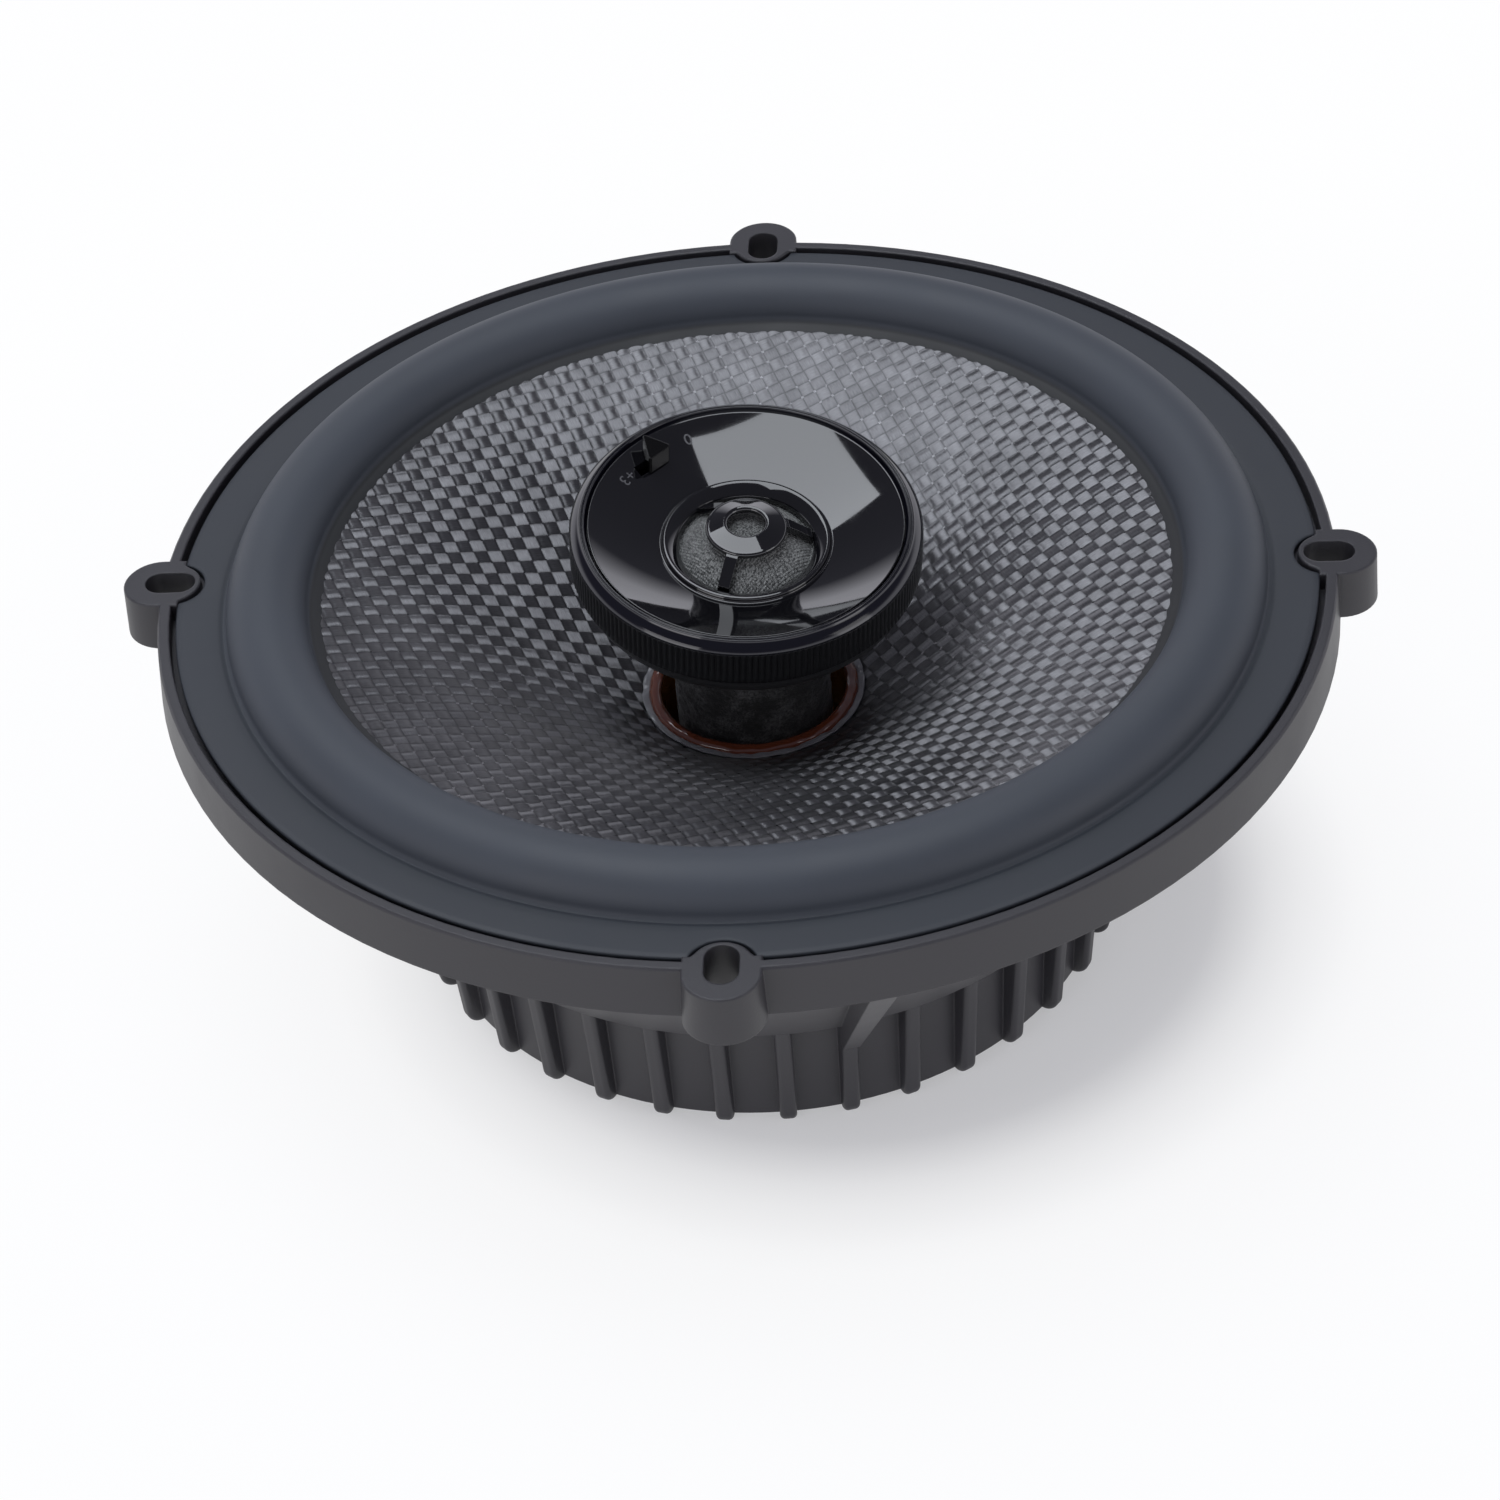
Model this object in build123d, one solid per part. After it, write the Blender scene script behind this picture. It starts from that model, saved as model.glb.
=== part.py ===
from build123d import *
import math
import os

# Coaxial car speaker with a pivoting tweeter. Millimetres, +Z towards the listener.
# The origin is on the axis, in the plane of the flange's underside, which meets the mounting panel.
# The four lugs are on +X, +Y, -X and -Y.

os.makedirs("parts", exist_ok=True)

# ---- driving dimensions ----
FLANGE_HEIGHT = 7.1
FLANGE_R = 79.0
RIM_R = 78.5
RIM_INNER_R = 76.9
RIM_CHAMFER = 0.3

BOLT_CIRCLE_R = 77.5
SLOT_WIDTH = 4.3
SLOT_LENGTH = 6.8
LUG_END_R = 4.9
LUG_REACH = 83.8
LUG_DRAFT = 2.5
NOSE_R = 3.9
NOSE_REACH = 73.4
NOSE_GAP = 0.5

LAND_R = 75.6
LAND_TOP = 6.8
LAND_THICKNESS = 1.0
ROLL_OUTER_R = 69.3
ROLL_INNER_R = 58.5
ROLL_HEIGHT = 5.2
ROLL_THICKNESS = 0.8

CONE_R = 57.7
CONE_EDGE_Z = 6.25
CONE_NECK_R = 14.0
CONE_NECK_Z = -14.35
CONE_FLARE = 2.2
CONE_THICKNESS = 0.6

FORMER_R = 12.7
FORMER_THICKNESS = 0.35
FORMER_TOP = -13.2
FORMER_BOTTOM = -36.5
COLLAR_THICKNESS = 0.3
COLLAR_LENGTH = 2.9
COIL_TOP = -24.0
COIL_THICKNESS = 0.45
GLUE_GAP = 0.05

BOWL_TOP_R = 72.5
BOWL_FOOT_R = 51.4
BOWL_FOOT_Z = -30.1
BOWL_WALL = 2.2
SHELF_INNER_R = 68.0
SEAT_TOP = -25.6
SEAT_BOTTOM = -27.6
SEAT_HOLE_R = 24.0
SPIDER_Z = -20.6
SPIDER_R = 40.0
SPIDER_LEDGE_R = 36.5
SPIDER_THICKNESS = 0.4

SHROUD_INNER_R = 45.7
SHROUD_TOP_R = 48.3
SHROUD_BOTTOM_R = 47.5
SHROUD_BOTTOM = -48.5
RIB_COUNT = 36
RIB_PHASE = 5.0
RIB_WIDTH = 2.3
RIB_TOP_R = 51.0
RIB_BOTTOM_R = 49.4
RIB_END_RADIUS = 2.0
RIB_EDGE_RADIUS = 0.7

WINDOW_COUNT = 8
WINDOW_ARC = 35.0
WINDOW_TOP = -3.2
WINDOW_BOTTOM = -17.0
WINDOW_CORNER = 3.5
ARM_PHASE = 15.0
GUSSET_COUNT = 4
GUSSET_TOP_WIDTH = 3.8
GUSSET_FOOT_Z = -34.7
GUSSET_R = 77.5

MAGNET_R = 45.0
MAGNET_BORE_R = 21.0
PLATE_BORE_R = 13.95
TOP_PLATE_BOTTOM = -32.6
MAGNET_BOTTOM = -42.6
YOKE_BOTTOM = -47.1
YOKE_R = 44.0
POLE_R = 12.45
POLE_TOP = -27.0
POLE_BORE_R = 5.0
NUT_RECESS_R = 8.5
NUT_RECESS_DEPTH = 3.4
CAP_BOTTOM = -48.2
CAP_HOLE_R = 12.0

SCREW_COUNT = 4
SCREW_CIRCLE_R = 30.5
SCREW_R = 2.0
SCREW_HEAD_R = 3.6
SCREW_HEAD_HEIGHT = 2.3

POST_R = 10.2
POST_TOP = -2.6
POST_WALL = 2.6
POST_CAVITY_R = 6.0
POST_FLOOR = -25.0
STEM_BOTTOM = -46.4
STEM_BORE_R = 2.0
FELT_THICKNESS = 0.5

# The tweeter head is drawn upright around its pivot and then tilted to its rest pose.
PIVOT_Z = 2.55
PIVOT_TO_RIM = 14.17
TILT_DEG = 8.8
TILT_TOWARDS_DEG = -66.0
BALL_R = 4.5
BALL_FLAT = 1.7
BALL_CLEARANCE = 0.05
SHANK_R = 2.5
WIRE_BORE_R = 1.0

HEAD_R = 23.1
HEAD_SIDE_R = 23.4
HEAD_SIDE_DEPTH = 6.8
RING_BORE_R = 21.9
DISH_R = 20.9
DISH_EDGE_DEPTH = 0.35
DISH_FOOT_DEPTH = 4.1
LIP_R = 11.3
LIP_DEPTH = 3.5
WELL_R = 8.9
WELL_DEPTH = 5.3
PLATE_THICKNESS = 1.0

HUB_R = 5.4
HUB_HOLE_R = 2.45
SPOKE_WIDTH = 1.6
SPOKE_ANGLES = (12.0, 132.0, 252.0)

DOME_R = 8.6
DOME_TOP_DEPTH = 2.3
DOME_BASE_DEPTH = 5.6
DOME_THICKNESS = 0.25
DOME_COLLAR_R = DOME_R - 0.4
POLE_PLATE_R = DOME_COLLAR_R - 0.2

KNOB_ANGLE = 136.0
KNOB_INNER_R = 16.4
KNOB_SIDE = 4.1
KNOB_HEIGHT = 2.7
SWITCH_TRAVEL = 2.0

TERMINAL_ANGLE = 60.0
PAD_WIDTH = 26.0
PAD_HALF_ARC = 13.5
PAD_FACE_R = 72.6
PAD_TOP = -4.2
PAD_BOTTOM = -16.0
TERMINAL_SPACING = 11.0
BLOCK_THICKNESS = 3.4
TERMINAL_Z = -8.8
RIVET_R = 1.2

LEAD_R = 0.7
EYELET_R = 30.0
CABLE_R = 0.6
CABLE_ANGLE = 55.0
CABLE_CHANNEL_R = 47.1
CABLE_CHANNEL_WIDTH = 2.2


# ---- helpers ----
def turned(points, arc=360.0):
    """Solid of revolution about Z from a closed outline of (radius, height) points."""
    outline = Polyline([(r, 0, z) for r, z in points], close=True)
    return revolve(make_face(outline), Axis.Z, arc)


def turned_edges(edges, arc=360.0):
    """Solid of revolution about Z from joined edges in the XZ plane."""
    return revolve(make_face(edges), Axis.Z, arc)


def line(a, b):
    return Line((a[0], 0, a[1]), (b[0], 0, b[1]))


def arc_through(a, b, c):
    return ThreePointArc((a[0], 0, a[1]), (b[0], 0, b[1]), (c[0], 0, c[1]))


def ring(inner, outer, bottom, top):
    return turned([(inner, bottom), (outer, bottom), (outer, top), (inner, top)])


def disc(radius, bottom, top):
    return Pos(0, 0, bottom) * Cylinder(radius, top - bottom, align=(Align.CENTER, Align.CENTER, Align.MIN))


def turn(shape, angle):
    return shape.rotate(Axis.Z, angle)


def radial_web(points, width):
    """Flat web in the XZ plane, centred on it, from (radius, height) points."""
    outline = Polyline([(r, 0, z) for r, z in points], close=True)
    return extrude(make_face(outline), amount=width / 2, dir=(0, 1, 0), both=True)


def block(x_range, y_range, z_range):
    size = [b - a for a, b in (x_range, y_range, z_range)]
    corner = (x_range[0], y_range[0], z_range[0])
    return Pos(*corner) * Box(*size, align=(Align.MIN, Align.MIN, Align.MIN))


def tube_along(points, radius, bends):
    """Round cord along straight runs joined by tangent arcs."""
    path = FilletPolyline(*points, radius=bends)
    section = Plane(path @ 0, z_dir=path % 0) * Circle(radius)
    return sweep(section, path=path)


def save(name, shape):
    export_step(shape, f"parts/{name}.step")


def bowl_radius(z, inner=False):
    """Radius of the bowl's outer or inner face at height z."""
    run = BOWL_TOP_R - BOWL_FOOT_R
    slope = run / -BOWL_FOOT_Z
    offset = BOWL_WALL * math.hypot(1, slope) if inner else 0
    return BOWL_TOP_R + slope * z - offset


def cone_height(radius, drop=0.0):
    """Height of the cone's upper face, a shallow arc bulging upwards between neck and edge."""
    span = CONE_R - CONE_NECK_R
    part = (radius - CONE_NECK_R) / span
    chord = CONE_NECK_Z + part * (CONE_EDGE_Z - CONE_NECK_Z)
    return chord + CONE_FLARE * 4 * part * (1 - part) - drop


# ---- basket ----
def lug_outline():
    """Plan of one lug on +X: rounded end, straight flanks, narrower nose inside the rim."""
    end = Pos(LUG_REACH - LUG_END_R, 0) * Circle(LUG_END_R)
    flank_length = 3.0
    flank = Pos(LUG_REACH - LUG_END_R - flank_length / 2, 0) * Rectangle(flank_length, 2 * LUG_END_R)
    nose = Pos(NOSE_REACH + NOSE_R, 0) * Circle(NOSE_R)
    return end + flank + nose


def lug():
    body = extrude(Pos(0, 0, FLANGE_HEIGHT) * lug_outline(), amount=-FLANGE_HEIGHT, taper=-LUG_DRAFT)
    return chamfer(body.edges().group_by(Axis.Z)[-1], RIM_CHAMFER * 0.6)


def lug_slot():
    cut = 3 * FLANGE_HEIGHT
    slot = extrude(SlotOverall(SLOT_LENGTH, SLOT_WIDTH), amount=cut / 2, both=True)
    return Pos(BOLT_CIRCLE_R, 0, 0) * slot


def basket_body():
    """Flange, bowl, seat plate, spider ledge and shroud as one turned shell."""
    shelf = LAND_TOP - LAND_THICKNESS
    groove_floor = shelf - 1.3
    return turned([
        (FLANGE_R, 0),
        (RIM_R, FLANGE_HEIGHT - RIM_CHAMFER),
        (RIM_R - RIM_CHAMFER, FLANGE_HEIGHT),
        (RIM_INNER_R + RIM_CHAMFER / 2, FLANGE_HEIGHT),
        (RIM_INNER_R, FLANGE_HEIGHT - RIM_CHAMFER / 2),
        (RIM_INNER_R, groove_floor),
        (LAND_R, groove_floor),
        (LAND_R, shelf),
        (SHELF_INNER_R, shelf),
        (SHELF_INNER_R, -2.6),
        (bowl_radius(-2.6, inner=True), -2.6),
        (bowl_radius(SEAT_TOP, inner=True), SEAT_TOP),
        (SPIDER_R + 0.6, SEAT_TOP),
        (SPIDER_R + 0.6, SPIDER_Z),
        (SPIDER_LEDGE_R, SPIDER_Z),
        (SPIDER_LEDGE_R, SEAT_TOP),
        (SEAT_HOLE_R, SEAT_TOP),
        (SEAT_HOLE_R, SEAT_BOTTOM),
        (SHROUD_INNER_R, SEAT_BOTTOM),
        (SHROUD_INNER_R, SHROUD_BOTTOM),
        (SHROUD_BOTTOM_R - 0.5, SHROUD_BOTTOM),
        (SHROUD_BOTTOM_R, SHROUD_BOTTOM + 0.5),
        (SHROUD_TOP_R, BOWL_FOOT_Z),
        (BOWL_FOOT_R, BOWL_FOOT_Z),
        (BOWL_TOP_R, 0),
    ])


def window(start, end):
    """Rounded opening through the bowl between two angles in degrees."""
    outline = [(50, WINDOW_BOTTOM), (75, WINDOW_BOTTOM), (75, WINDOW_TOP), (50, WINDOW_TOP)]
    blank = turned(outline, end - start)
    corners = [e for e in blank.edges() if e.geom_type == GeomType.LINE and abs((e % 0.5).Z) < 0.1]
    return turn(fillet(corners, WINDOW_CORNER), start)


def windows():
    """Openings between the arms; the two beside the terminal pad stop short of it."""
    pitch = 360 / WINDOW_COUNT
    side = (pitch - WINDOW_ARC) / 2
    shapes = []
    for i in range(WINDOW_COUNT):
        start = ARM_PHASE + i * pitch + side
        end = start + WINDOW_ARC
        if abs(start - side - TERMINAL_ANGLE) < 1:
            start = TERMINAL_ANGLE + PAD_HALF_ARC
        if abs(end + side - TERMINAL_ANGLE) < 1:
            end = TERMINAL_ANGLE - PAD_HALF_ARC
        shapes.append(window(start, end))
    return shapes


def rib():
    """One shroud rib on +X, thinner towards the foot, with a rounded foot and soft outer edges."""
    top = BOWL_FOOT_Z
    foot = SHROUD_BOTTOM
    root = CABLE_CHANNEL_R + 0.1
    web = radial_web([(root, top), (RIB_TOP_R, top), (RIB_BOTTOM_R, foot), (root, foot)], RIB_WIDTH)
    foot_edge = web.edges().filter_by(Axis.Y).sort_by(Axis.Z)[0:2].sort_by(Axis.X)[-1]
    web = fillet(foot_edge, RIB_END_RADIUS)
    reach = RIB_BOTTOM_R - RIB_END_RADIUS
    far = web.edges().filter_by(lambda e: e.center().X > reach and abs(e.center().Y) > 0.1)
    outer = [e for e in far if e.length > RIB_END_RADIUS and e.center().Z < top - 1]
    return fillet(outer, RIB_EDGE_RADIUS)


def gusset():
    """Tapered web on +X from the flange's underside down into one rib."""
    side = radial_web([
        (bowl_radius(-1) - BOWL_WALL / 2, -1),
        (GUSSET_R - 1, -1),
        (RIB_TOP_R, GUSSET_FOOT_Z),
        (SHROUD_TOP_R - 1, GUSSET_FOOT_Z),
        (SHROUD_TOP_R - 1, BOWL_FOOT_Z),
        (bowl_radius(-28) - BOWL_WALL / 2, -28),
    ], 3 * GUSSET_TOP_WIDTH)
    half_top = GUSSET_TOP_WIDTH / 2
    half_foot = RIB_WIDTH / 2
    front = Polyline([
        (40, -half_top, 0),
        (40, half_top, 0),
        (40, half_foot, GUSSET_FOOT_Z),
        (40, -half_foot, GUSSET_FOOT_Z),
    ], close=True)
    return side & extrude(make_face(front), amount=50, dir=(1, 0, 0))


def gusset_cap():
    """Short foot that ties the gusset into the flange's underside."""
    return block((BOWL_TOP_R - 2, GUSSET_R - 1), (-GUSSET_TOP_WIDTH / 2, GUSSET_TOP_WIDTH / 2), (-1.2, 0.3))


def terminal_bracket():
    """Spacer between the sloping bowl and the flat terminal block, hollowed to fit the bowl."""
    pad = block((55, PAD_FACE_R), (-PAD_WIDTH / 2, PAD_WIDTH / 2), (PAD_BOTTOM, PAD_TOP))
    pad = fillet(pad.edges().filter_by(Axis.X), 1.5)
    gap = 0.02
    high = bowl_radius(5) + gap
    low = bowl_radius(-30) + gap
    pad -= turned([(0, 5), (high, 5), (low, -30), (0, -30)])
    pad = turn(pad, TERMINAL_ANGLE)
    return pad - [turn(hole, TERMINAL_ANGLE) for hole in terminal_holes()]


def terminal_holes():
    cut = Rot(0, 90, 0) * Cylinder(RIVET_R + 0.05, 40)
    half = TERMINAL_SPACING / 2
    return [Pos(PAD_FACE_R, y, TERMINAL_Z) * cut for y in (-half, half)]


def basket_frame():
    body = basket_body()
    body += [turn(lug(), 90 * i) for i in range(4)]
    body -= [turn(lug_slot(), 90 * i) for i in range(4)]
    screw_hole = Pos(SCREW_CIRCLE_R, 0, SEAT_TOP) * Cylinder(SCREW_R + 0.05, 10)
    body -= [turn(screw_hole, 45 + i * 360 / SCREW_COUNT) for i in range(SCREW_COUNT)]
    channel = block((SHROUD_INNER_R - 3, CABLE_CHANNEL_R),
                    (-CABLE_CHANNEL_WIDTH / 2, CABLE_CHANNEL_WIDTH / 2),
                    (SHROUD_BOTTOM - 1, SEAT_TOP + 1))
    body -= turn(channel, CABLE_ANGLE)
    body -= [turn(hole, TERMINAL_ANGLE) for hole in terminal_holes()]
    body -= windows()
    body += [turn(rib(), RIB_PHASE + i * 360 / RIB_COUNT) for i in range(RIB_COUNT)]
    web = gusset() + gusset_cap()
    body += [turn(web, ARM_PHASE + i * 360 / GUSSET_COUNT) for i in range(GUSSET_COUNT)]
    return body


# ---- moving system ----
def surround():
    """Half-roll surround: outer land notched round the lug noses, roll, and inner land under the cone."""
    land_bottom = LAND_TOP - LAND_THICKNESS
    middle = (ROLL_OUTER_R + ROLL_INNER_R) / 2
    crest = LAND_TOP + ROLL_HEIGHT
    inner_outer_r = ROLL_OUTER_R - ROLL_THICKNESS
    inner_inner_r = ROLL_INNER_R + ROLL_THICKNESS
    under = CONE_THICKNESS + 0.1
    lip_r = CONE_R - 2.7
    profile = [
        line((LAND_R - 0.05, land_bottom), (LAND_R - 0.05, LAND_TOP)),
        line((LAND_R - 0.05, LAND_TOP), (ROLL_OUTER_R, LAND_TOP)),
        arc_through((ROLL_OUTER_R, LAND_TOP), (middle, crest), (ROLL_INNER_R, LAND_TOP)),
        line((ROLL_INNER_R, LAND_TOP), (ROLL_INNER_R - 0.4, cone_height(CONE_R, under))),
        line((ROLL_INNER_R - 0.4, cone_height(CONE_R, under)), (lip_r, cone_height(lip_r, under))),
        line((lip_r, cone_height(lip_r, under)), (lip_r, cone_height(lip_r, under + ROLL_THICKNESS))),
        line((lip_r, cone_height(lip_r, under + ROLL_THICKNESS)),
             (inner_inner_r, cone_height(CONE_R, under + ROLL_THICKNESS / 2))),
        line(
            (inner_inner_r, cone_height(CONE_R, under + ROLL_THICKNESS / 2)),
            (inner_inner_r, land_bottom),
        ),
        arc_through(
            (inner_inner_r, land_bottom),
            (middle, crest - ROLL_THICKNESS),
            (inner_outer_r, land_bottom),
        ),
        line((inner_outer_r, land_bottom), (LAND_R - 0.05, land_bottom)),
    ]
    notch = Pos(NOSE_REACH + NOSE_R, 0, LAND_TOP) * Cylinder(NOSE_R + NOSE_GAP, 4)
    return turned_edges(profile) - [turn(notch, 90 * i) for i in range(4)]


def cone():
    middle = (CONE_R + CONE_NECK_R) / 2
    drop = CONE_THICKNESS
    ends = [(CONE_R, cone_height(CONE_R)), (CONE_NECK_R, cone_height(CONE_NECK_R))]
    low = [(CONE_R, cone_height(CONE_R, drop)), (CONE_NECK_R, cone_height(CONE_NECK_R, drop))]
    return turned_edges([
        arc_through(ends[0], (middle, cone_height(middle)), ends[1]),
        line(ends[1], low[1]),
        arc_through(low[1], (middle, cone_height(middle, drop)), low[0]),
        line(low[0], ends[0]),
    ])


def neck_glue():
    inner = FORMER_R + FORMER_THICKNESS + COLLAR_THICKNESS + 2 * GLUE_GAP
    return turned([
        (inner, CONE_NECK_Z - 0.6),
        (CONE_NECK_R - GLUE_GAP, CONE_NECK_Z - 0.6),
        (CONE_NECK_R - GLUE_GAP, CONE_NECK_Z + 0.12),
        (CONE_NECK_R + 1.1, cone_height(CONE_NECK_R + 1.1) + 0.12),
        (CONE_NECK_R, FORMER_TOP - 0.55),
        (inner, FORMER_TOP - 0.35),
    ])


def spider():
    """Corrugated centring disc: joined half waves of the same section."""
    inner = FORMER_R + FORMER_THICKNESS + 0.1
    waves = 10
    flat_r = SPIDER_LEDGE_R
    step = (flat_r - inner) / waves
    height = 0.9
    base = SPIDER_Z
    low = []
    high = []
    for i in range(waves):
        a = inner + i * step
        b = a + step
        bulge = height if i % 2 else -height
        low.append(arc_through((a, base), ((a + b) / 2, base + bulge), (b, base)))
        top = base + SPIDER_THICKNESS
        high.append(arc_through((a, top), ((a + b) / 2, top + bulge), (b, top)))
    top = base + SPIDER_THICKNESS
    ends = [
        line((inner, base), (inner, top)),
        line((flat_r, base), (SPIDER_R, base)),
        line((SPIDER_R, base), (SPIDER_R, top)),
        line((SPIDER_R, top), (flat_r, top)),
    ]
    return turned_edges(low + high + ends)


def lead_eyelets():
    """Two rivets through the cone where the leads end."""
    half = TERMINAL_SPACING / 2
    radius = EYELET_R
    shapes = []
    for y in (-half, half):
        shank = Pos(radius, y, cone_height(radius) - 1.1) * Cylinder(1.0, 1.4)
        shapes.append(turn(shank, TERMINAL_ANGLE))
    return Compound(shapes)


def cone_with_holes():
    half = TERMINAL_SPACING / 2
    body = cone()
    for y in (-half, half):
        hole = Pos(EYELET_R, y, cone_height(EYELET_R) - 1.1) * Cylinder(1.05, 1.42)
        body -= turn(hole, TERMINAL_ANGLE)
    return body


def tinsel_lead(side):
    """Lead from a terminal rivet, down in a loose loop, and up to the cone."""
    y = side * TERMINAL_SPACING / 2
    start_r = bowl_radius(TERMINAL_Z, inner=True) - 2.0
    end_z = cone_height(EYELET_R) - 2.3
    points = [
        (start_r, y, TERMINAL_Z),
        (start_r - 7, y * 1.1, -11.5),
        (start_r - 17, y * 1.3, -15.2),
        (start_r - 27, y * 1.1, -13.6),
        (EYELET_R, y, end_z),
    ]
    bends = [8.0, 14.0, 8.0]
    return turn(tube_along(points, LEAD_R, bends), TERMINAL_ANGLE)


# ---- motor ----
def top_plate():
    body = ring(PLATE_BORE_R, MAGNET_R, TOP_PLATE_BOTTOM, SEAT_BOTTOM)
    hole = Pos(SCREW_CIRCLE_R, 0, SEAT_BOTTOM) * Cylinder(SCREW_R + 0.05, 20)
    return body - [turn(hole, 45 + i * 360 / SCREW_COUNT) for i in range(SCREW_COUNT)]


def t_yoke():
    body = disc(YOKE_R, YOKE_BOTTOM, MAGNET_BOTTOM) + disc(POLE_R, MAGNET_BOTTOM, POLE_TOP)
    body -= Pos(0, 0, -40) * Cylinder(POLE_BORE_R, 40)
    body -= disc(NUT_RECESS_R, YOKE_BOTTOM - 1, YOKE_BOTTOM + NUT_RECESS_DEPTH)
    groove = block((0, MAGNET_R + 2), (-CABLE_CHANNEL_WIDTH / 2, CABLE_CHANNEL_WIDTH / 2),
                   (YOKE_BOTTOM - 1, YOKE_BOTTOM + 1.8))
    return body - turn(groove, CABLE_ANGLE)


def rear_cap():
    step = 0.4
    return turned([
        (CAP_HOLE_R, YOKE_BOTTOM),
        (SHROUD_INNER_R - 0.1, YOKE_BOTTOM),
        (SHROUD_INNER_R - 0.1, CAP_BOTTOM),
        (SHROUD_INNER_R - 2.5, CAP_BOTTOM),
        (SHROUD_INNER_R - 2.9, CAP_BOTTOM + step),
        (CAP_HOLE_R + 6.4, CAP_BOTTOM + step),
        (CAP_HOLE_R + 6.0, CAP_BOTTOM),
        (CAP_HOLE_R, CAP_BOTTOM),
    ]) - turn(block((CAP_HOLE_R + 30, MAGNET_R + 2), (-CABLE_CHANNEL_WIDTH / 2, CABLE_CHANNEL_WIDTH / 2),
                    (YOKE_BOTTOM - 0.7, YOKE_BOTTOM + 1)), CABLE_ANGLE)


def motor_screws():
    """Pan-head screws that hold the motor to the basket's seat."""
    head = Cylinder(SCREW_HEAD_R, SCREW_HEAD_HEIGHT, align=(Align.CENTER, Align.CENTER, Align.MIN))
    head = Pos(0, 0, SEAT_TOP) * head
    head = fillet(head.edges().group_by(Axis.Z)[-1], SCREW_HEAD_HEIGHT * 0.45)
    cross = [Pos(0, 0, SEAT_TOP + SCREW_HEAD_HEIGHT) * Rot(0, 0, a) * Box(3.6, 0.8, 2.0) for a in (0, 90)]
    shank_length = SEAT_TOP - TOP_PLATE_BOTTOM - 0.8
    shank = Cylinder(SCREW_R, shank_length, align=(Align.CENTER, Align.CENTER, Align.MAX))
    shank = Pos(0, 0, SEAT_TOP) * shank
    screw = Pos(SCREW_CIRCLE_R, 0, 0) * (head - cross + shank)
    return Compound([turn(screw, 45 + i * 360 / SCREW_COUNT) for i in range(SCREW_COUNT)])


def tweeter_post():
    """Hollow post on the pole, with a hollow stem through the pole's bore."""
    body = disc(POST_R, POLE_TOP, POST_TOP)
    body = chamfer(body.edges().group_by(Axis.Z)[-1], 1.2)
    body += disc(POLE_BORE_R - 0.1, STEM_BOTTOM, POLE_TOP)
    body -= disc(POST_CAVITY_R, POST_FLOOR, POST_TOP - POST_WALL)
    body -= disc(SHANK_R + 0.05, POST_TOP - POST_WALL - 1, POST_TOP + 1)
    return body - disc(STEM_BORE_R, STEM_BOTTOM - 1, POST_FLOOR + 1)


def post_nut():
    across_flats = 12.6
    top = YOKE_BOTTOM + NUT_RECESS_DEPTH - 0.5
    hexagon = Pos(0, 0, top) * RegularPolygon(across_flats / 2, 6, major_radius=False)
    return extrude(hexagon, amount=-2.1) - disc(POLE_BORE_R - 0.05, top - 3, top + 1)


def post_washer():
    top = YOKE_BOTTOM + NUT_RECESS_DEPTH
    return ring(POLE_BORE_R + 0.1, NUT_RECESS_R - 0.4, top - 0.5, top)


def tweeter_cable():
    """Twin lead from the pivot, down the post and stem, under the yoke and up inside the shroud."""
    low = STEM_BOTTOM - 0.65
    groove = YOKE_BOTTOM + 0.8
    climb_r = SHROUD_INNER_R + 0.45
    points = [
        (0, 0, PIVOT_Z - 0.4),
        (0, 0, low),
        (7.5, 0, low),
        (12.5, 0, groove),
        (climb_r, 0, groove),
        (climb_r, 0, SEAT_TOP + 1.6),
        (53.5, 0.8, -19.0),
        (59.5, 2.2, -10.5),
    ]
    bends = [1.9, 6.0, 6.0, 2.0, 2.0, 6.0]
    return turn(tube_along(points, CABLE_R, bends), CABLE_ANGLE)


# ---- tweeter head, drawn upright with its pivot at the origin ----
def depth(value):
    """Height above the pivot of a point this deep below the rim plane."""
    return PIVOT_TO_RIM - value


def head(shape):
    """Places a head part: tilts it about the pivot and lifts it to the pivot's height."""
    towards = math.radians(TILT_TOWARDS_DEG)
    axis = Axis((0, 0, 0), (-math.sin(towards), math.cos(towards), 0))
    return shape.rotate(axis, TILT_DEG).moved(Location((0, 0, PIVOT_Z)))


def turned_deep(points):
    """Solid of revolution from (radius, depth below the rim plane) points."""
    return turned([(r, depth(d)) for r, d in points])


def trim_ring():
    return turned_deep([
        (RING_BORE_R, HEAD_SIDE_DEPTH),
        (HEAD_SIDE_R - 0.3, HEAD_SIDE_DEPTH),
        (HEAD_SIDE_R, HEAD_SIDE_DEPTH - 0.4),
        (HEAD_SIDE_R, 1.3),
        (HEAD_R, 0.5),
        (HEAD_R - 0.5, 0.0),
        (HEAD_R - 1.3, 0.0),
        (DISH_R + 0.15, 0.65),
        (DISH_R + 0.15, 1.5),
        (RING_BORE_R, 1.5),
    ])


def dish_depth(radius):
    """Depth of the dish's upper face, a straight cone from its edge down to the lip."""
    part = (DISH_R - radius) / (DISH_R - LIP_R)
    return DISH_EDGE_DEPTH + part * (DISH_FOOT_DEPTH - DISH_EDGE_DEPTH)


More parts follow.
